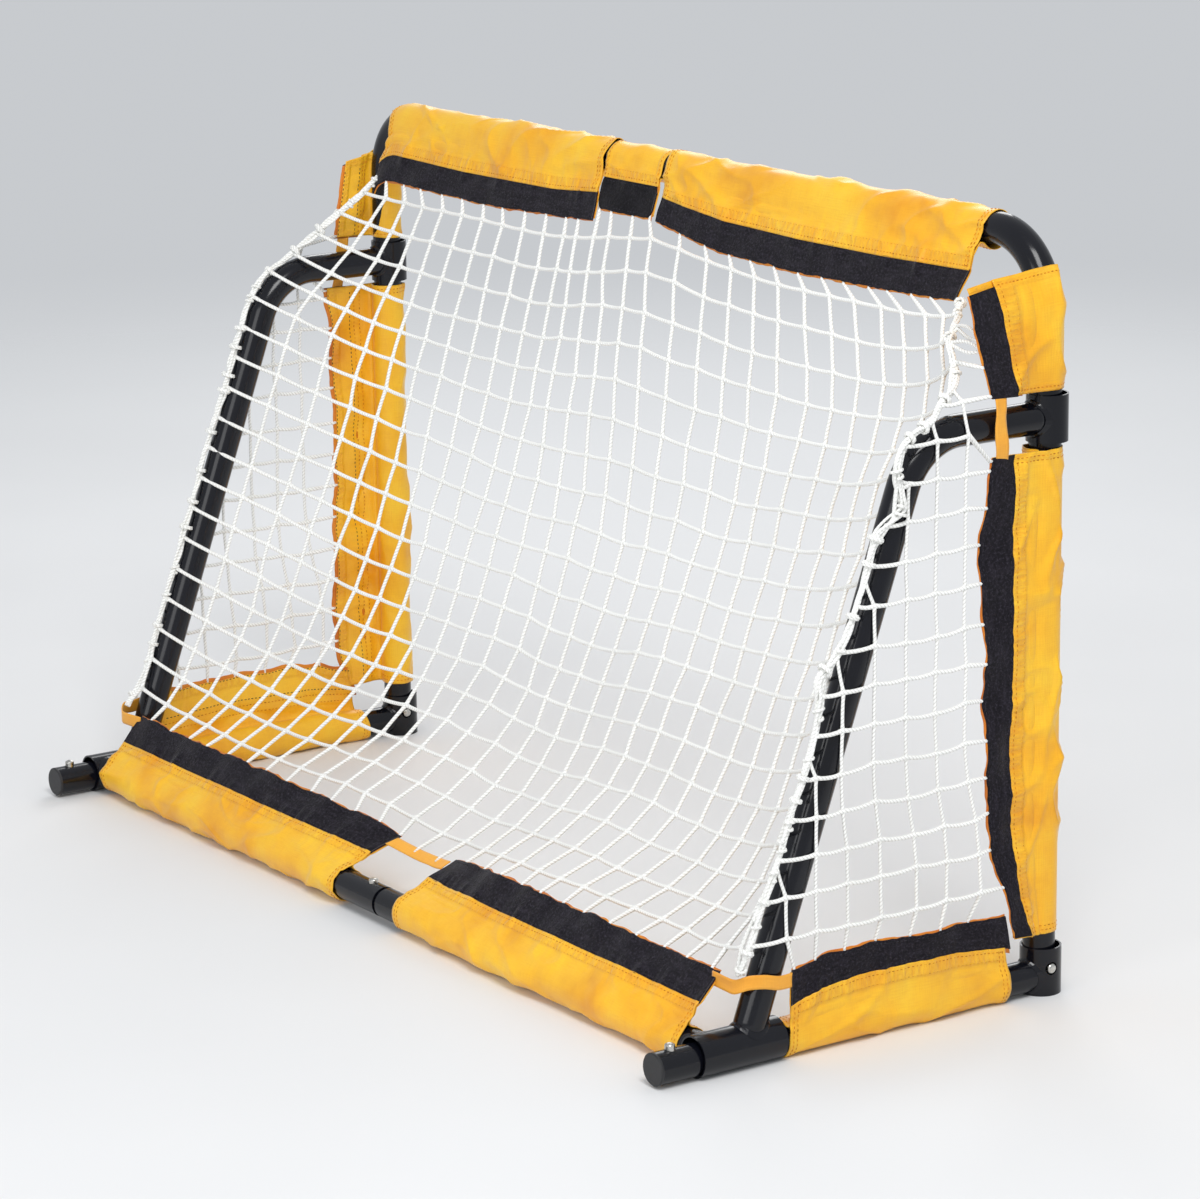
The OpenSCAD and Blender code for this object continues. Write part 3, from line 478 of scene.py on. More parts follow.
TUBE = tube_material()
CAP = cap_material()
NICKEL = metal_material("button_nickel", (214, 212, 206), 0.24)
STEEL = metal_material("spring_steel", (150, 152, 156), 0.34)
YELLOW = cloth_material("cloth_yellow", srgb(222, 138, 12), srgb(252, 186, 26), srgb(255, 212, 54), gloss=0.4)
# painted light and shade: this cloth's deeper red-orange stands for inside cloth that is shaded and lit only
# through the yellow layers
LINING_PAINTED_LIGHT = cloth_material("cloth_lining", srgb(178, 84, 12), srgb(224, 130, 20), srgb(238, 160, 34),
                        patches=False)
TAPE = cloth_material("tape_orange", srgb(216, 130, 24), srgb(246, 168, 44), srgb(255, 192, 74), 1.6)
THREAD = cord_material("thread_yellow", srgb(176, 96, 16), srgb(222, 136, 30), 1.0)
THREAD_DARK = cord_material("thread_black", srgb(16, 16, 20), srgb(52, 50, 58), 1.0)
STRIP = fuzz_material("strip_black", srgb(12, 11, 14), srgb(30, 27, 34), srgb(70, 65, 76))
PATCH = fuzz_material("patch_black", srgb(9, 8, 11), srgb(20, 18, 23), srgb(46, 43, 51))
CORD = cord_material("net_white", srgb(222, 222, 217), srgb(254, 254, 251))

SLOTS = {"tube_black": TUBE, "cap_black": CAP, "button_nickel": NICKEL, "spring_steel": STEEL}
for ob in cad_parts.values():
    for s in ob.material_slots:
        base = next((k for k in SLOTS if s.material and s.material.name.startswith(k)), None)
        if base:
            s.material = SLOTS[base]

# ---------- where the cloth runs

def bend_normal(x, k):
    """Away from the bend's centre at x on the crossbar, with the bend's angle taken k times."""
    f = np.arcsin(np.clip((np.abs(x) - STRAIGHT_X) / BEND_R, 0, 1)) * k
    return np.stack([np.sign(x) * np.sin(f), 0 * f, np.cos(f)], -1)


def cross_station(x):
    s = np.sign(x) if x else 1.0
    over = max(0.0, abs(x) - STRAIGHT_X)
    f = math.asin(min(over / BEND_R, 1))
    n = np.array([s * math.sin(f), 0, math.cos(f)])
    o = np.array([s * (abs(x) - over + BEND_R * math.sin(f)), UPRIGHT_Y,
                  CROSS_Z - BEND_R * (1 - math.cos(f))])
    y = np.array([0, 1.0, 0])
    return o, math.cos(TILT) * y - math.sin(TILT) * n, math.sin(TILT) * y + math.cos(TILT) * n


def upright_station(side):
    def at(z):
        over = max(0.0, z - CROSS_Z + BEND_R)
        f = math.asin(min(over / BEND_R, 1))
        return (np.array([side * (HALF_SPAN - BEND_R * (1 - math.cos(f))), UPRIGHT_Y, z]),
                np.array([0, 1.0, 0]), np.array([side * math.cos(f), 0, math.sin(f)]))
    return at


def base_station(side):
    return lambda y: (np.array([side * HALF_SPAN, y, BASE_Z]), np.array([0, 0, 1.0]),
                      np.array([side, 0, 0]))


def rear_lean(x):
    """Degrees by which the rear strips lie back from the upright, flattest at their inner ends."""
    return 40 + 26 * np.exp(-((x + 25) / 125) ** 2)


def rear_station(x):
    t = math.radians(rear_lean(x))
    return (np.array([x, REAR_Y, REAR_Z]), np.array([0, -math.sin(t), math.cos(t)]),
            np.array([0, math.cos(t), math.sin(t)]))


def places(a, b, inset=0.0):
    return np.linspace(a + inset, b - inset, max(8, int((b - a) / CLOTH_STEP)) + 1)


class Cloth:
    """One length of sleeve: cloth round the tube, its black strip, its lining and stitches."""

    def __init__(self, station, a, b, seed, neck=NECK, strip=None, pucker=1.0, slip=None,
                 slant=(0, 0), folds=1.0, waves=1.0):
        self.at, self.a, self.b, self.seed = station, a, b, seed
        self.neck, self.rim = neck, neck + STRIP_W
        self.strip = strip or (a, b)
        self.pucker, self.folds, self.slant, self.waves = pucker, folds, slant, waves
        self.hem, self.edge = slip or (([0], [0]), ([0], [0]))

    def frame(self, s):
        """Axis point, direction towards the closing edge and outward direction, at places s along."""
        return [np.array(q) for q in zip(*map(self.at, s))]

    def shear(self, S, P):
        """How far the closing edge runs on or falls short of the end of the cloth round the tube."""
        t = np.clip(P / self.rim, 0, 1)
        a, b = self.strip
        u = np.clip((S - a) / (b - a), 0, 1)
        return t * (self.slant[0] * (1 - u) - self.slant[1] * u)

    def lift(self, s, v):
        """Height of the cloth over its plain form, at place s along and v beyond the tube's tangent
        (v below 0 is round the tube)."""
        k, sd = self.pucker, self.seed
        near = smooth(-10, self.neck, v)
        gather = value_noise(s / 7.5 + 0.4 * value_noise(s / 30, v / 40, sd + 9), v / 30, sd) \
            + 0.6 * value_noise(s / 4.2, v / 18, sd + 1)
        diag = ridge((s + 0.9 * v) / 62, (v - 0.35 * s) / 27, sd + 2) \
            + ridge((s - 0.7 * v) / 74, (v + 0.4 * s) / 33, sd + 3)
        broad = fbm(s / 95, v / 60, sd + 4)
        fine = fbm(s / 24, v / 16, sd + 5)
        folds = self.folds * (2.5 * (diag - 0.8) + 1.3 * broad + 0.4 * fine)
        return k * gather * (0.15 + 0.85 * near ** 2) + folds * (0.35 + 0.65 * smooth(-70, -8, v))

    def lift_round(self, s, v):
        """The same, kept off the tube."""
        d = self.lift(s, v)
        return np.maximum(d + 0.9, -0.25 + 0.15 * np.tanh(d))

    def lift_flat(self, s, p):
        """Height over the closing edge, at p from the tube's axis."""
        w = smooth(8, 20, p)
        hem = np.clip(p, None, self.neck)
        d = self.lift(s, hem) * (1 - smooth(self.neck, self.neck + STRIP_W * 0.7, p)) + \
            self.wave(s) * smooth(self.neck, self.rim, p)
        return self.lift_round(s, p) * (1 - w) + d * w

    def wave(self, s):
        """Height of the waves of the closing edge."""
        slow = -3.2 * np.sin(s * math.pi / 88 + 0.6 * noise1(s / 90, self.seed + 8)) ** 2 \
            + 2.2 * noise1(s / 41, self.seed + 6)
        return self.waves * slow + 0.45 * noise1(s / 13, self.seed + 7) + 0.8

    def spread(self, s, p):
        """Place in the section once the cloth has slipped outward or in, as it does along its length."""
        h, e = np.interp(s, *self.hem), np.interp(s, *self.edge)
        e = e + self.waves * 1.5 * noise1(s / 17, self.seed + 12)
        return p + h * np.clip(p / self.neck, 0, 1) ** 1.3 + \
            (e - h) * np.clip((p - self.neck) / STRIP_W, 0, 1)

    def point(self, S, p, q):
        """World points for places S along, and places p, q in the plane of the section."""
        grid = np.linspace(S.min() - 1, S.max() + 1, 400)
        o, e1, e2 = (interp3(S, grid, f) for f in self.frame(grid))
        p = self.spread(S, p)
        arm = p[..., None] * e1 + q[..., None] * e2
        if self.at is cross_station:
            n, square = (interp3(S, grid, bend_normal(grid, k)) for k in (1.0, 0.2))
            arm = arm + smooth(2, 30, p)[..., None] * (arm * n).sum(-1)[..., None] * (square - n)
        return o + arm

    def cloth(self, name, node, on):
        s = places(self.a, self.b)
        self.fr = self.frame(s)
        R, nk = WRAP_R, self.neck
        p1 = np.linspace(nk + 1.5, 0, 19)
        a2 = np.radians(np.linspace(90, 385, 46)[1:])
        t = np.linspace(0, 1, 9)[1:]
        b0 = np.array([R * math.cos(a2[-1]), R * math.sin(a2[-1])])
        b1, b2 = b0 + np.array([-0.42, 0.91]) * 6.5, np.array([15.0, R - LAYER])
        b3 = np.array([23.0 if nk > 30 else 18.0, R - LAYER])
        bez = ((1 - t) ** 3)[:, None] * b0 + (3 * (1 - t) ** 2 * t)[:, None] * b1 + \
            (3 * (1 - t) * t ** 2)[:, None] * b2 + (t ** 3)[:, None] * b3
        p4 = np.r_[np.linspace(b3[0], nk - 4, 8)[1:], np.linspace(nk - 1, self.rim - 2.5, 12)]
        base = np.vstack([np.stack([p1, p1 * 0 + R], 1), np.stack([R * np.cos(a2), R * np.sin(a2)], 1), bez,
                          np.stack([p4, R - LAYER - 1.5 * smooth(nk - 3, nk + 4, p4)], 1)])
        run = run_along(base)
        k1, k2 = len(p1), len(p1) + len(a2)
        S = np.repeat(s[:, None], len(base), 1)
        D = np.zeros_like(S)
        out = np.repeat([[0.0, 1.0]], len(base), 0)
        # first edge
        D[:, :k1] = self.lift_flat(S[:, :k1], p1) + smooth(nk - 10.5, nk - 8.5, p1) * 0.55
        # round the tube
        v = -(np.degrees(a2) - 90) * math.pi / 180 * R
        D[:, k1:k2] = self.lift_round(S[:, k1:k2], v) * (1 - smooth(math.radians(325), math.radians(385), a2))
        out[k1:k2] = np.stack([np.cos(a2), np.sin(a2)], 1)
        # turn and second edge
        pp = np.r_[bez[:, 0], p4]
        w = smooth(b3[0] - 3, b3[0] + 4, pp) * np.r_[t ** 2, p4 * 0 + 1]
        D[:, k2:] = self.lift_flat(S[:, k2:], pp) * w
        P, Q = base[:, 0] + out[:, 0] * D, base[:, 1] + out[:, 1] * D
        pts = self.point(S + self.shear(S, P), P, Q)
        pts[..., 2] = np.maximum(pts[..., 2], CLOTH_LOW)
        # hem bands along the cloth's edges and ends, where the shader raises gathers and paints shade in
        # their hollows
        edge = np.maximum(smooth(13, 10, run), smooth(run[-1] - 13, run[-1] - 10, run))
        tip = np.maximum(smooth(9, 6, s - self.a), smooth(9, 6, self.b - s))
        mask = np.maximum(edge, 0.7 * tip[:, None])
        faces = grid_faces(len(s), len(base), False, self.flipped())
        ob = mesh_object(name, pts.reshape(-1, 3), faces, YELLOW,
                         *maps((s - self.a) / (self.b - self.a), run / run[-1], s, run, mask / MM))
        solidify(ob, CLOTH_T)
        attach(ob, "frame")
        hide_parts(node)
        self.s, self.pts, self.k1, self.k2 = s, pts, k1, k2

    def flipped(self):
        o, e1, e2 = self.fr
        return float(np.dot(np.cross(e1[0], e2[0]), o[-1] - o[0])) < 0

    def band(self, s, p, q):
        """Points of the flat edge, with its waves, for places s and section points p, q."""
        s, p = np.asarray(s, float), np.asarray(p, float)
        self.fr = self.frame(s)
        S = np.repeat(s[:, None], len(p), 1)
        return self.point(S + self.shear(S, p), p, np.asarray(q, float) + self.lift_flat(S, p))

    def pushed(self, pts, by, weight):
        """The points moved towards the closing edge: by, along the cloth, times weight, across it."""
        return pts + (by[:, None] * weight)[..., None] * self.fr[1][:, None]

    def black(self, name, node, mat, corners):
        """The hook-and-loop strip, with corners of that radius rounded off."""
        a, b = self.strip
        s = places(a, b)
        nk, rim = self.neck, self.rim
        top, low = WRAP_R + 0.45, WRAP_R - LAYER + 0.75
        mid = (top + low) / 2
        inner = np.linspace(nk + 0.6, rim - 0.9, 13)
        p = np.r_[inner, rim, rim, inner[::-1], nk + 0.1, nk + 0.1]
        q = np.r_[inner * 0 + top, mid + 0.5, mid - 0.5, inner * 0 + low, mid - 0.5, mid + 0.5]
        nibble = 0.6 * noise1(s / 6.0, self.seed + 21) + 0.5 * noise1(s / 21.0, self.seed + 22)
        pts = self.pushed(self.band(s, p, q), nibble, smooth(nk + STRIP_W * 0.5, rim, p))
        if corners:
            end = np.minimum(s - a, b - s)
            cut = np.where(end < corners,
                           corners - np.sqrt(np.maximum(corners ** 2 - (corners - end) ** 2, 0)), 0)
            for edge, sign in ((rim, -1), (nk, 1)):
                pts = self.pushed(pts, sign * cut, np.clip(1 - np.abs(p - edge) / (corners * 1.2), 0, 1))
        m = len(p)
        run = np.r_[0, np.cumsum(np.hypot(np.diff(p), np.diff(q)))]
        faces = grid_faces(len(s), m, True, not self.flipped())
        faces += caps(len(s), m) if self.flipped() else [f[::-1] for f in caps(len(s), m)]
        ob = mesh_object(name, pts.reshape(-1, 3), faces, mat,
                         *maps((s - a) / (b - a), run / (run[-1] * 1.02), s, run))
        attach(ob, "frame")
        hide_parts(node)

    def lining(self, name):
        """Thin cloth between the two faces of the strip, which shows past its edges."""
        a, b = self.strip
        s = places(a, b, 0.4)
        p = np.linspace(self.neck - 4, self.rim + 1.5, 9)
        pts = self.pushed(self.band(s, p, p * 0 + WRAP_R - LAYER / 2 - 0.5),
                          0.7 * noise1(s / 8.0, self.seed + 31), smooth(self.neck, self.rim, p))
        run = p - p[0]
        # painted light and shade: the lining gets the red-orange inside-cloth colour
        ob = mesh_object(name, pts.reshape(-1, 3), grid_faces(len(s), len(p), False, self.flipped()), LINING_PAINTED_LIGHT,
                         *maps((s - a) / (b - a), run / run[-1], s, run))
        solidify(ob, LINING_T, 0)
        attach(ob, "frame")
        wide = float(np.mean(self.spread(s, p[-1]) - self.spread(s, p[0])))

    def stitches(self, yellow, dark):
        a, b = self.strip
        nk = self.neck
        low = WRAP_R - LAYER
        for side, q, qs in ((1, WRAP_R + 0.2, WRAP_R + 0.5), (-1, low - 0.1, low - 1.6)):
            for p, build, qq in ((nk - 2.2, yellow, q + (0.4 if side > 0 else -0.3)), (nk - 9.0, yellow, q),
                                 (nk + 4.5, dark, qs), (self.rim - 3.5, dark, qs)):
                s0, s1 = (self.a + 4, self.b - 4) if build is yellow else (a + 3, b - 3)
                s = np.linspace(s0, s1, max(8, int((s1 - s0) / 2.5)))
                line = self.band(s, [p], [qq])[:, 0]
                dashes(build, line, self.fr[2] * side)
        # hems at the two ends, round the cloth
        for s0, way in ((self.a + 5.5, 2), (self.b - 5.5, -2)):
            i = int(np.argmin(np.abs(self.s - s0)))
            for j in (i, i + way) if self.b - self.a >= 130 else (i,):
                before, line, after = self.pts[j - 1:j + 2, 1:self.k2]
                nrm = np.cross(unit(after - before), unit(np.gradient(line, axis=0)))
                mid = self.pts[j, self.k1 - 1] - self.at(self.s[j])[0]
                if np.dot(nrm[self.k1 - 2], mid) < 0:
                    nrm = -nrm
                dashes(yellow, line + nrm * 0.1, nrm)


Y, D = Build(), Build()
cloths = {}


def add_cloth(label, c, on, nodes=None, mat=STRIP, corners=0.0):
    kind, word = label.split("_")
    sleeve, strip = nodes or (f"{kind}_sleeve_{word}", f"{kind}_strip_{word}")
    c.cloth("cloth_" + label, sleeve, on)
    c.black("hook_strip_" + label, strip, mat, corners)
    c.lining("lining_" + label)
    c.stitches(Y, D)
    cloths[label] = c


add_cloth("crossbar_left",
          Cloth(cross_station, -STRAIGHT_X, 0, 11, pucker=0.6, waves=0.45, slant=(18, 0), folds=1.25,
                slip=(([-522, -380, -250, -120, -40, 2], [8, 11, 11, 8, 1, -4]),
                      ([-522, -400, -250, -120, -40, 2], [3, 8, 9, 5, -6, -13]))), ["upright_left"])
add_cloth("crossbar_right",
          Cloth(cross_station, 112, 552, 23, pucker=0.6, waves=0.45, slant=(0, -24), folds=1.25,
                slip=(([112, 200, 380, 554], [4, 10, 11, 7]), ([112, 300, 554], [0, 7, 3]))),
          ["upright_right"])
add_cloth("crossbar_flap",
          Cloth(cross_station, 8, 110, 31, neck=FLAP_NECK, pucker=0.5, folds=0.7, waves=0.3),
          ["upright_left", "upright_right"], ("crossbar_flap", "flap_patch"), PATCH, 9.0)
# hem and free edge of each upright and base cloth, as it has slipped: place along, mm outward
UPPER = {"left": (([602, 676, 712], [12, 27, 37]), ([602, 671, 711], [8, 28, 36])),
         "right": (([602, 711], [-4, -16]), ([602, 640, 698], [-11, -17, -28]))}
LOWER = {"left": (([66, 79, 114, 160, 265, 420, 546], [-13, -7, 3, 10, 14, 14, 13]),
                  ([66, 95, 121, 161, 272, 386, 445, 500, 546], [-28, -19, -12, 2, 11, 12, 19, 11, 6])),
         "right": (([66, 546], [0, 4]), ([66, 150, 244, 340, 437, 504, 547], [-4, 4, 2, -2, -2, 2, 5]))}
FLOOR = {"left": (([-177, -167, -103, -50, 14, 66, 97], [0, 4, 11, 13, 13, 8, -2]),
                  ([-177, -166, -136, -50, 0, 56, 97], [-6, 1, 3, 5, 7, 5, -2])),
         "right": (([-177, -103, 14, 97], [0, 10, 12, 4]),
                   ([-177, -156, -118, -30, 34, 97], [-8, -4, 8, 11, 12, 6]))}
for side, word, seed in ((-1, "left", 40), (1, "right", 60)):
    add_cloth("upper_" + word,
              Cloth(upright_station(side), 602, 711 if side < 0 else 698, seed + 1,
                    strip=(600, 706 if side < 0 else 694), pucker=0.7, slant=(3, 9), slip=UPPER[word],
                    waves=0.4, folds=1.4), ["upright_" + word])
    add_cloth("lower_" + word,
              Cloth(upright_station(side), 64, 546, seed + 5, strip=(66, 546), slip=LOWER[word],
                    waves=1.5 if side < 0 else 1.0, folds=1.6), ["upright_" + word])
    add_cloth("base_" + word,
              Cloth(base_station(side), -170, 97, seed + 9, strip=(-177, 97), slant=(13, 3),
                    slip=FLOOR[word]), ["base_tube_" + word])
for label, a, b, seed, slant in (("rear_left", -565.5, -64, 81, (0, 8)),
                                 ("rear_right", 54, 565.5, 83, (-22, 0))):
    add_cloth(label, Cloth(rear_station, a, b, seed, pucker=0.8, folds=1.15, slant=slant),
              ["rear_bar_left", "rear_bar_right"])

for build, name, mat in ((Y, "stitches_yellow", THREAD), (D, "stitches_black", THREAD_DARK)):
    ob = build.done(name, mat)
    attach(ob, "frame")

# ---------- net

SIDE_X = HALF_SPAN + TUBE_R + 1.9
BELLY = 30.0                     # how far the back net blows inward of its hanging curve


def rear_edge(lean):
    """(y, z) of the net's low edge on rear strips that lie back by lean."""
    return np.stack([REAR_Y - REACH * np.sin(lean) + NET_LIFT * np.cos(lean),
                     REAR_Z + REACH * np.cos(lean) + NET_LIFT * np.sin(lean)], -1)


NET_TOP = np.array([UPRIGHT_Y + REACH * math.cos(TILT) + NET_LIFT * math.sin(TILT),
                    CROSS_Z - REACH * math.sin(TILT) + NET_LIFT * math.cos(TILT)])
NET_LOW = rear_edge(LEAN)
NET_DOWN = NET_LOW - NET_TOP
NET_RUN = 703.0


def brace_back(lift, x):
    """Points over the bend of a brace and down its back, at lift from its axis."""
    out = [(x, *(BEND_CENTRE + (BEND_R + lift) * np.array([math.cos(f), math.sin(f)])))
           for f in np.radians((70, 56, 43, 31))]
    for t, off in zip((0.9, 0.78, 0.66, 0.54, 0.42, 0.3, 0.19), (1.5, -1, 2, 0, -1.5, 1, 0)):
        q = BRACE_FOOT + (BRACE_TOP - BRACE_FOOT) * t + lift * np.array([math.sin(SLOPE), math.cos(SLOPE)])
        out.append((x + off, *q))
    return out


# where back and side nets are laced together (|x|, y, z): from the corner of the crossbar strip, over
# the bend of the brace and down along it. On the left it has slipped outward, on the right it lies
# on the back of the brace.
SEAMS = {-1: [(506, -188, 678), (540, -151, 659), (558, -130, 650), (570, -125, 639), (580, -121, 626),
              (590, -109, 613), (598, -90, 603), (606, -72, 590), (611, -48, 582), (612, -33, 572),
              (612.5, -27, 559), (612.5, -26, 544), (612.5, -30, 526), (612.5, -31, 511), (609, -7, 493),
              (608, 2, 467), (608, 18, 426), (608, 38, 385), (608, 60, 365), (608, 61, 339), (608, 68, 303),
              (608, 87, 255), (608, 105, 207), (608, 126, 158), (606, 146, 108), (598, 148, 92)],
         1: [(556, -188, 679), (568, -168, 656), (579, -138, 632), (587, -112, 611)] + brace_back(21, 594)
            + [(588, 149, 94)]}
SEAMS = {k: catmull(v, 3) for k, v in SEAMS.items()}
RUNS = {k: run_along(v) for k, v in SEAMS.items()}


def seam_at(side, v):
    s = np.clip(np.asarray(v, float), 0, 1) * RUNS[side][-1]
    return interp3(s, RUNS[side], SEAMS[side])


TOP_X = [-506, -481, -450, -412, -381, -341, -303, -264, -220, -180, -139, -97, -46, 8, 44, 81, 106, 138, 160,
         196, 236, 276, 316, 357, 398, 438, 476, 514, 556]
COLS, ROWS = len(TOP_X) - 1, 19


def hanging(v):
    """Catenary of the net's own length between its top and low edges, at v from the top."""
    span, drop = NET_DOWN[0], -NET_DOWN[1]
    want = math.sqrt(NET_RUN ** 2 - drop ** 2) / span
    lo, hi = 0.1, 2.0
    for _ in range(40):
        x = (lo + hi) / 2
        lo, hi = (x, hi) if math.sinh(x) / x < want else (lo, x)
    a = span / (2 * x)
    low = math.asinh(drop / span / want) - x
    u = np.arcsinh((1 - v) * NET_RUN / a + math.sinh(low))
    return np.stack([NET_LOW[0] - a * (u - low), NET_LOW[1] + a * (np.cosh(u) - math.cosh(low))], -1)


def net_point(i, v):
    """Place on the sagging back net: column i (whole or part) and v from top to bottom."""
    i, v = np.broadcast_arrays(np.asarray(i, float), np.asarray(v, float))
    top = np.interp(i, np.arange(COLS + 1), TOP_X)
    top = np.where(top < 0, top / -TOP_X[0], top / TOP_X[-1])
    side = top + (2 * i / COLS - 1 - top) * smooth(0, 0.5, v)
    rim = np.where((side < 0)[..., None], seam_at(-1, v), seam_at(1, v))
    x = side * rim[..., 0] * (1 - 0.02 * smooth(0.85, 1, v))
    w = np.abs(side) ** (4.5 + 9 * np.abs(1 - 2 * v) ** 3)
    inward = np.array([NET_DOWN[1], -NET_DOWN[0]]) / np.linalg.norm(NET_DOWN)
    slip = rear_edge(np.radians(rear_lean(x))) - NET_LOW
    mid = hanging(v) + slip * (smooth(0.3, 1.2, v) / smooth(0.3, 1.2, 1))[..., None]
    near = np.where(x > 8, 1 - (x - 8) / 205, 1 - (8 - x) / 225)
    lift = 19 * np.clip(near, 0, 1) ** 1.2 * (1 - v) ** 2.2
    mid = mid - NET_DOWN / np.linalg.norm(NET_DOWN) * lift[..., None]
    mid = mid + inward * (BELLY * np.sin(np.pi * v ** 1.9))[..., None]
    yz = mid + (rim[..., 1:] - mid) * w[..., None]
    ripple = 4.5 * fbm(side * 3.5, v * 5, 401) * np.sin(np.pi * np.clip(v, 0, 1)) * (1 - w)
    return np.concatenate([x[..., None], yz + ripple[..., None] * inward], -1)


def crossing_grid():
    """Where the back net's cords cross, as columns and places down, a little uneven."""
    rs = np.random.RandomState(77)
    v_row = (25 + 36.2 * np.arange(ROWS)) / NET_RUN
    I = np.arange(COLS + 1, dtype=float)[None].repeat(ROWS, 0)
    V = v_row[:, None].repeat(COLS + 1, 1)
    body = (np.sin(np.pi * I / COLS) ** 0.5) * np.clip(V * 12, 0.4, 1)
    di = (rs.rand(*I.shape) - 0.5) * 0.13 + value_noise(I / 3.2, V * 6, 91) * 0.22
    dv = (rs.rand(*I.shape) - 0.5) * 0.10 + value_noise(I / 4.5, V * 5, 92) * 0.20
    return I + di * body, np.clip(V + dv * body / ROWS, 0, 1)


def cord_through(build, pts, sag, radius=CORD_R, knot=0.55, row=(0, 1), sag_dir=(0, 0, -1), head=(), tail=()):
    """A cord through the crossings, a little slack between them and thicker where it is tied. Head and
    tail are the points at the edge of a strip and inside it, where the cord tapers."""
    pts, path, rad = np.asarray(pts, float), [], []
    for a, b in zip(pts[:-1], pts[1:]):
        for t in np.arange(5) / 5:
            path.append(a + (b - a) * t + np.asarray(sag_dir) * sag * 4 * t * (1 - t))
            rad.append(radius + knot * math.exp(-(min(t, 1 - t) * np.linalg.norm(b - a) / 2.8) ** 2))
    taper = [radius * 0.95, 0.9]
    sweep(build, [*head[::-1], *path, pts[-1], *tail],
          [*taper[:len(head)][::-1], *rad, radius + knot, *taper[:len(tail)]], 8, row)


def tucked(label, s, depth=7.0):
    """A point between the layers of a closing strip, depth inside its free edge."""
    c = cloths[label]
    s = float(np.clip(s, c.strip[0] + 3, c.strip[1] - 3))
    return c.band([s], [c.rim - depth], [WRAP_R - LAYER / 2 - 0.4])[0, 0]


def into(label, s):
    """Where a cord meets the edge of a strip, and its end inside."""
    return [tucked(label, s, -1.5), tucked(label, s)]


def hand_over(build, name, mat, node):
    ob = build.done(name, mat)
    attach(ob, "frame")
    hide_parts(node)


def back_net():
    I, V = crossing_grid()
    P = net_point(I, V)
    build = Build()
    total = COLS + ROWS + 2
    for j in range(ROWS):
        cord_through(build, P[j], 0.9, CORD_R * 1.06, row=uv_row(j, total))
    middle = rear_station(0)
    for i in range(COLS + 1):
        line = list(P[:, i])
        if 0 < i < COLS:
            x = TOP_X[i]
            top = "crossbar_flap" if 3 < x < 111 else "crossbar_left" if x < 3 else "crossbar_right"
            x0 = line[-1][0]
            head = into(top, x)
            if -62 < x0 < 38:
                tail = [middle[0] + middle[1] * p + middle[2] * 16.0 + np.array([x0, 0, 0])
                        for p in (69, 61)]
            else:
                tail = into("rear_left" if x0 < 0 else "rear_right", np.clip(x0, -562, 562))
        else:
            head, tail = (), ()
            side = -1 if i == 0 else 1
            line = [seam_at(side, 0) * [side, 1, 1]] + line + [seam_at(side, 1) * [side, 1, 1]]
        cord_through(build, line, 0.5, row=uv_row(ROWS + 1 + i, total), sag_dir=(0.3, 1, 0),
                     head=head, tail=tail)
    hand_over(build, "net_back_cords", CORD, "net_back")


SIDE_ROWS = [121, 161, 198, 235, 272, 310.6, 348, 386, 427, 463, 499, 534, 572, 602, 635]
SIDE_COLS = [-110, -74, -39, -1.4, 37, 68, 102]
SIDE_LOW = [-20, -15, -13, -8, -7, -1.5, 0]


def seam_by_z(side, z):
    line = SEAMS[side][np.argsort(SEAMS[side][:, 2])]
    return interp3(z, line[:, 2], line)


def round_brace(z, end):
    """Points that lead a cord from the outer face of the brace round to its back."""
    if z > 545 or end[0] > HALF_SPAN + 8:
        return []
    out = []
    for a in (25, 60):
        lift = (TUBE_R + 3.6) * math.sin(math.radians(a))
        y = BRACE_FOOT[0] - (z - BRACE_FOOT[1]) / math.tan(SLOPE) + lift / math.sin(SLOPE)
        out.append(np.array([HALF_SPAN + (TUBE_R + 3.6) * math.cos(math.radians(a)), y, z]))
    return out


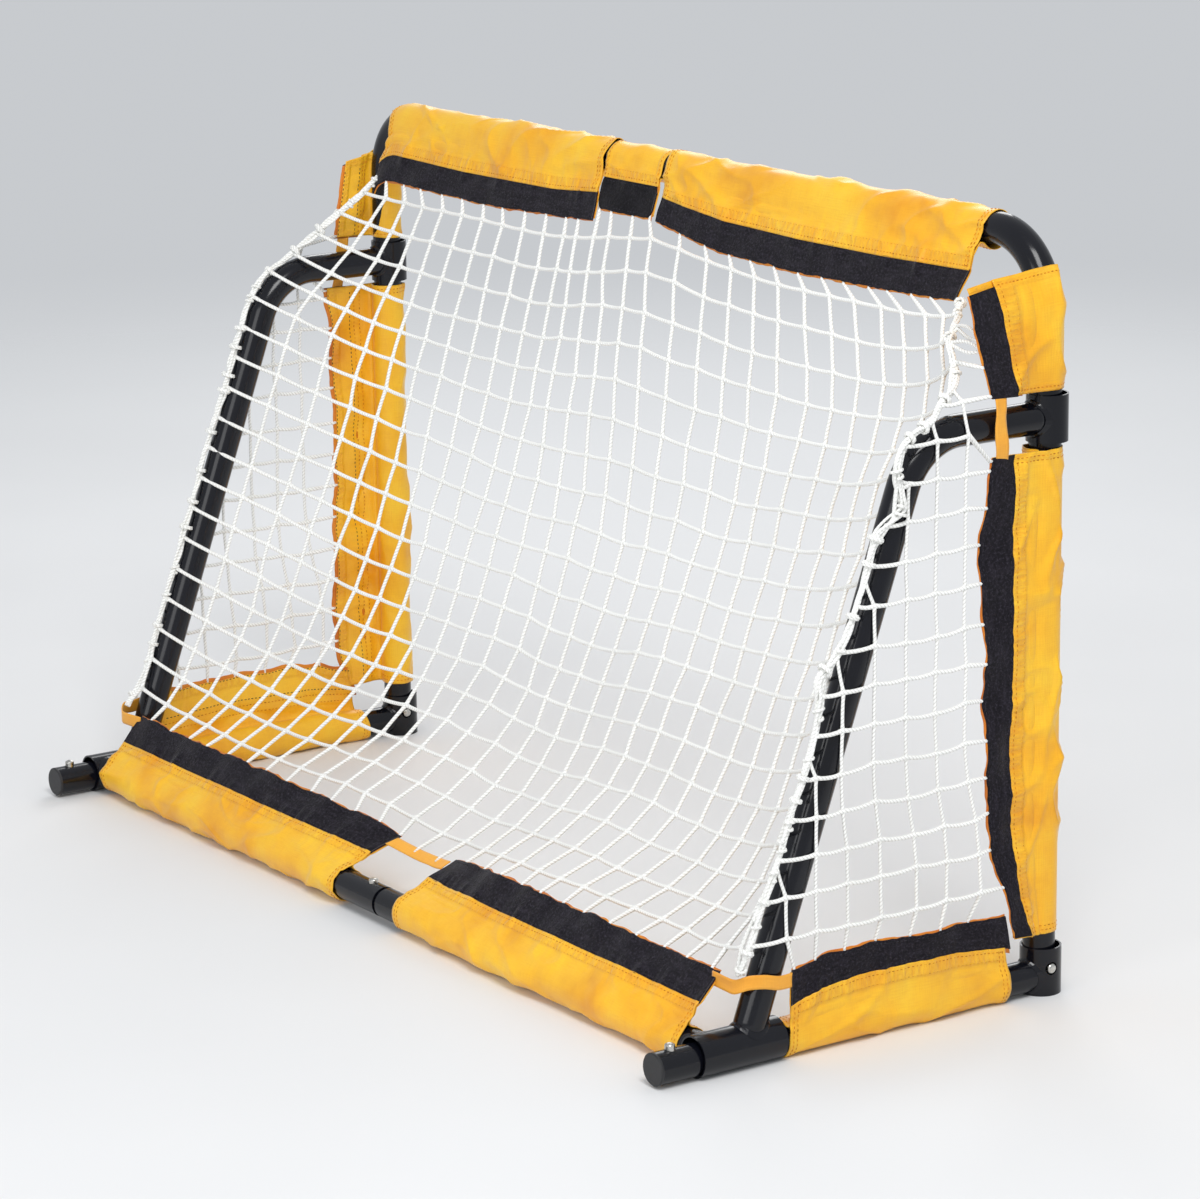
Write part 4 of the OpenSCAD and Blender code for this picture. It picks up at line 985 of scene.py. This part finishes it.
def side_net(side, word, seed):
    build = Build()
    rs = np.random.RandomState(seed)
    total = len(SIDE_ROWS) + len(SIDE_COLS) + 1
    column = lambda i, z: SIDE_COLS[i] + SIDE_LOW[i] * smooth(276, 158, z)
    grid = {}
    for j, z in enumerate(SIDE_ROWS):
        end = seam_by_z(side, z)
        label = ("upper_" if z > 600 else "lower_") + word
        start = tucked(label, z, -1.5) * [side, 1, 1]
        pts = []
        for i in range(len(SIDE_COLS)):
            y = column(i, z)
            if y > end[1] - (7 if side < 0 else 22) or y < start[1] + 6:
                continue
            along = (y - start[1]) / max(end[1] - start[1], 1)
            dz = (rs.rand() - 0.5) * 3.5 + 3.0 * value_noise(y / 60, z / 70, seed + 3)
            dy = (rs.rand() - 0.5) * 3.5
            out = 0.4 + 1.3 * abs(value_noise(y / 40, z / 50, seed + 4))
            x = SIDE_X + out if z < 600 else start[0] + (end[0] - start[0]) * along + 1
            pts.append(np.array([x, y + dy, z + dz]))
            grid[(i, j)] = pts[-1]
        pts += round_brace(z, end) + [end + np.array([0.8, 0, 0])]
        pts = np.array(pts) * [side, 1, 1]
        cord_through(build, pts, 1.7, CORD_R * 1.02, row=uv_row(j, total), head=into(label, z))
    for i in range(len(SIDE_COLS)):
        pts = [grid[(i, j)] for j in range(len(SIDE_ROWS)) if (i, j) in grid]
        y = pts[-1][1]
        # the column runs on up to where it meets the lacing
        above = SEAMS[side][(SEAMS[side][:, 2] > pts[-1][2] + 4)]
        gap = np.hypot(above[:, 1] - y, (above[:, 2] - pts[-1][2]) * 0.35)
        pts.append(above[int(np.argmin(gap))] + np.array([0.6, 0, 0]))
        cord_through(build, np.array(pts) * [side, 1, 1], 0.6, CORD_R * 0.84, 0.45,
                     uv_row(len(SIDE_ROWS) + i, total), (side * 0.2, 1, 0),
                     into("base_" + word, column(i, 95.0)))
    # loops that tie the lacing back to the upper strip
    for z, target in ((650, 652), (661, 664)) if side < 0 else ((632, 636),):
        a = seam_by_z(side, z)
        b = tucked("upper_" + word, target, 5) * [side, 1, 1]
        for k in range(2):
            mid = (a + b) / 2 + np.array([4 * k, 3 * k, 5 - 9 * k])
            sweep(build, catmull(np.array([a, mid, b]) * [side, 1, 1], 2), 1.7, row=(0.97, 0.99))
    hand_over(build, "net_side_cords_" + word, CORD, "net_side_" + word)


def seam(side, word, seed):
    """Edge cords of the two nets, laced together in a bunch behind the brace."""
    build = Build()
    rs = np.random.RandomState(seed)
    line, run = SEAMS[side] * [side, 1, 1], RUNS[side]
    t = unit(np.gradient(line, axis=0))
    out = np.array([side, 0.0, 0.0])
    n = unit(out - (t @ out)[:, None] * t)
    b = np.cross(t, n)
    bunch = 1.0 + 0.55 * np.exp(-((run - 300) / 55) ** 2) + 0.5 * np.exp(-((run - 478) / 30) ** 2) \
        + 0.35 * np.exp(-((run - 100) / 40) ** 2)
    for k in range(4):
        turn = run / 24.0 + k * math.pi / 2 + 0.9 * noise1(run / 34, seed + k)
        r = (1.7 + 0.9 * noise1(run / 19, seed + 5 + k)) * bunch
        path = line + n * (r * np.cos(turn))[:, None] + b * (r * np.sin(turn))[:, None]
        rad = 1.65 + 0.3 * noise1(run / 9, seed + 11 + k)
        sweep(build, path, rad, row=uv_row(k, 8))
    # lacing turns and knots round the bunch, closer in places
    s = 6.0
    while s < run[-1] - 6:
        i = int(np.argmin(np.abs(run - s)))
        knot = rs.rand() < 0.45
        turns = 2.4 if knot else 1.2
        ang = np.linspace(0, turns * 2 * math.pi, int(11 * turns)) + rs.rand() * 6
        r = (3.9 + rs.rand() * 0.7) * bunch[i] \
            + (1.2 if knot else 0) * np.sin(np.linspace(0, math.pi, len(ang)))
        slip = np.linspace(-1, 1, len(ang)) * (1.8 if knot else 3.5 + 3 * rs.rand())
        path = line[i] + n[i] * (r * np.cos(ang))[:, None] + b[i] * (r * np.sin(ang))[:, None] \
            + t[i] * slip[:, None]
        sweep(build, path, 1.5, 7, (0.5, 0.6))
        s += 17 + rs.rand() * 34
    hand_over(build, "seam_lacing_" + word, CORD, "seam_cord_" + word)


back_net()
for side, word, seed in ((-1, "left", 500), (1, "right", 600)):
    side_net(side, word, seed)
    seam(side, word, seed + 50)

# ---------- braces

arc = np.radians(np.linspace(90, 90 - math.degrees(SLOPE), 25))
bend = BEND_CENTRE + BEND_R * np.stack([np.cos(arc), np.sin(arc)], 1)
path = np.vstack([[COLLAR_Y + 13, BRACE_TOP[1]], np.linspace([COLLAR_Y + 20, BRACE_TOP[1]], bend[0], 6)[:-1],
                  bend, np.linspace(bend[-1], BRACE_FOOT, 26)[1:]])
for side, word in ((-1, "left"), (1, "right")):
    build = Build()
    sweep(build, np.c_[np.full(len(path), side * HALF_SPAN), path], TUBE_R, 64)
    hand_over(build, "brace_tube_" + word, TUBE, "side_brace_" + word)

# ---------- border tapes

def tape(name, path, across, nodes=(), seed=5):
    """Flat woven tape along a path; across is its width direction, or several along the path."""
    path, across = catmull(path, 3), np.atleast_2d(np.asarray(across, float))
    run = run_along(path)
    across = unit(interp3(np.linspace(0, len(across) - 1, len(path)), np.arange(len(across)), across))
    normal = unit(np.cross(unit(np.gradient(path, axis=0)), across))
    w = np.linspace(-0.5, 0.5, 7) * TAPE_W
    lift = TAPE_WAVE * value_noise(run[:, None] / 14, w / 9, seed)
    pts = path[:, None] + w[:, None] * across[:, None] + lift[..., None] * normal[:, None]
    ob = mesh_object(name, pts.reshape(-1, 3), grid_faces(len(path), len(w)), TAPE,
                     *maps(run / run[-1], w / TAPE_W + 0.5, run, w))
    solidify(ob, TAPE_T, 0)
    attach(ob, "frame")
    if nodes:
        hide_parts(*nodes)


for side, word, seed in ((-1, "left", 5), (1, "right", 8)):
    x = HALF_SPAN + TUBE_R + 1.4
    upper, lower = tucked("upper_" + word, 606, 14), tucked("lower_" + word, 541, 16)
    front = np.array([upper * [side, 1, 1], [x + 1.8, upper[1] + 1, 592], [x + 3.2, upper[1] + 2, 574],
                      [x + 2.0, (upper[1] + lower[1]) / 2 + 1, 556], lower * [side, 1, 1]]) * [side, 1, 1]
    tape("tape_front_" + word, front, [(0, 1, 0), (side * 0.25, 1, 0.1), (-side * 0.2, 1, -0.05), (0, 1, 0)],
         seed=seed)
    a, b = (tucked(*at) * [side, 1, 1] for at in (("base_" + word, 92, 10), ("rear_" + word, side * 560, 8)))
    round_foot = np.array([a, [x + 1.6, 110, a[2] + 1], [x + 1.8, 128, 85], [x - 3, 143, 85.5],
                           [x - 14, 150.5, b[2] + 1], [x - 28, 151, b[2] + 0.5], b]) * [side, 1, 1]
    tape("tape_foot_" + word, round_foot, (0, 0, 1),
         ("net_straps",) if side < 0 else (), seed=seed + 1)
mid = rear_station(0)
tape("tape_middle", [st[0] + st[1] * 61 + st[2] * 15.6 for st in map(rear_station, (-66, -40, -8, 14, 44))],
     mid[1], seed=21)

# ---------- floor and light

def add_stage():
    m = Nodes("floor_pale")
    o = m.coords()
    m.value("Roughness", 0.85)
    m.value("Specular IOR Level", 0.1)
    col = m.ramp(m.noise(o, 1.5, 2), [(0.3, (0.80, 0.80, 0.80)), (0.7, (0.83, 0.83, 0.83))])
    m.out(col)
    # the floor fades into the world's own pale colour away from the goal
    far = m.new("ShaderNodeVectorMath", operation="LENGTH")
    m.link(o, far.inputs[0])
    fade = m.grey(far.outputs["Value"], 0, 1, 1.6, 4.2)
    clear, both = m.new("ShaderNodeBsdfTransparent"), m.new("ShaderNodeMixShader")
    m.link(fade, both.inputs[0])
    m.link(m.b.outputs[0], both.inputs[1])
    m.link(clear.outputs[0], both.inputs[2])
    m.link(both.outputs[0], m.t.nodes["Material Output"].inputs["Surface"])
    ob = mesh_object("floor", [[-9000, -9000, 0], [9000, -9000, 0], [9000, 9000, 0], [-9000, 9000, 0]],
                     [(0, 1, 2, 3)], m.mat, smooth=False)

    world = bpy.data.worlds.new("studio")
    bpy.context.scene.world = world
    world.use_nodes = True
    nt = world.node_tree
    bg = nt.nodes["Background"]
    bg.inputs["Color"].default_value = (0.93, 0.96, 1.0, 1)
    bg.inputs["Strength"].default_value = 0.62

    def area(name, at, to, size, power):
        data = bpy.data.lights.new(name, "AREA")
        data.shape, data.size, data.size_y, data.energy = "RECTANGLE", size[0], size[1], power
        ob = bpy.data.objects.new(name, data)
        ob.location = at
        ob.rotation_euler = (Vector(to) - Vector(at)).to_track_quat("-Z", "Y").to_euler()
        bpy.context.scene.collection.objects.link(ob)

    area("key", (-2.2, 0.9, 3.2), (0, 0, 0.3), (1.4, 1.4), 62)
    area("fill", (-1.8, 4.2, 1.8), (0, 0, 0.4), (2.5, 2.0), 42)
    area("rim", (2.8, -2.4, 2.4), (0, 0, 0.4), (1.8, 1.8), 40)


add_stage()
bpy.context.scene.view_settings.view_transform = "Standard"
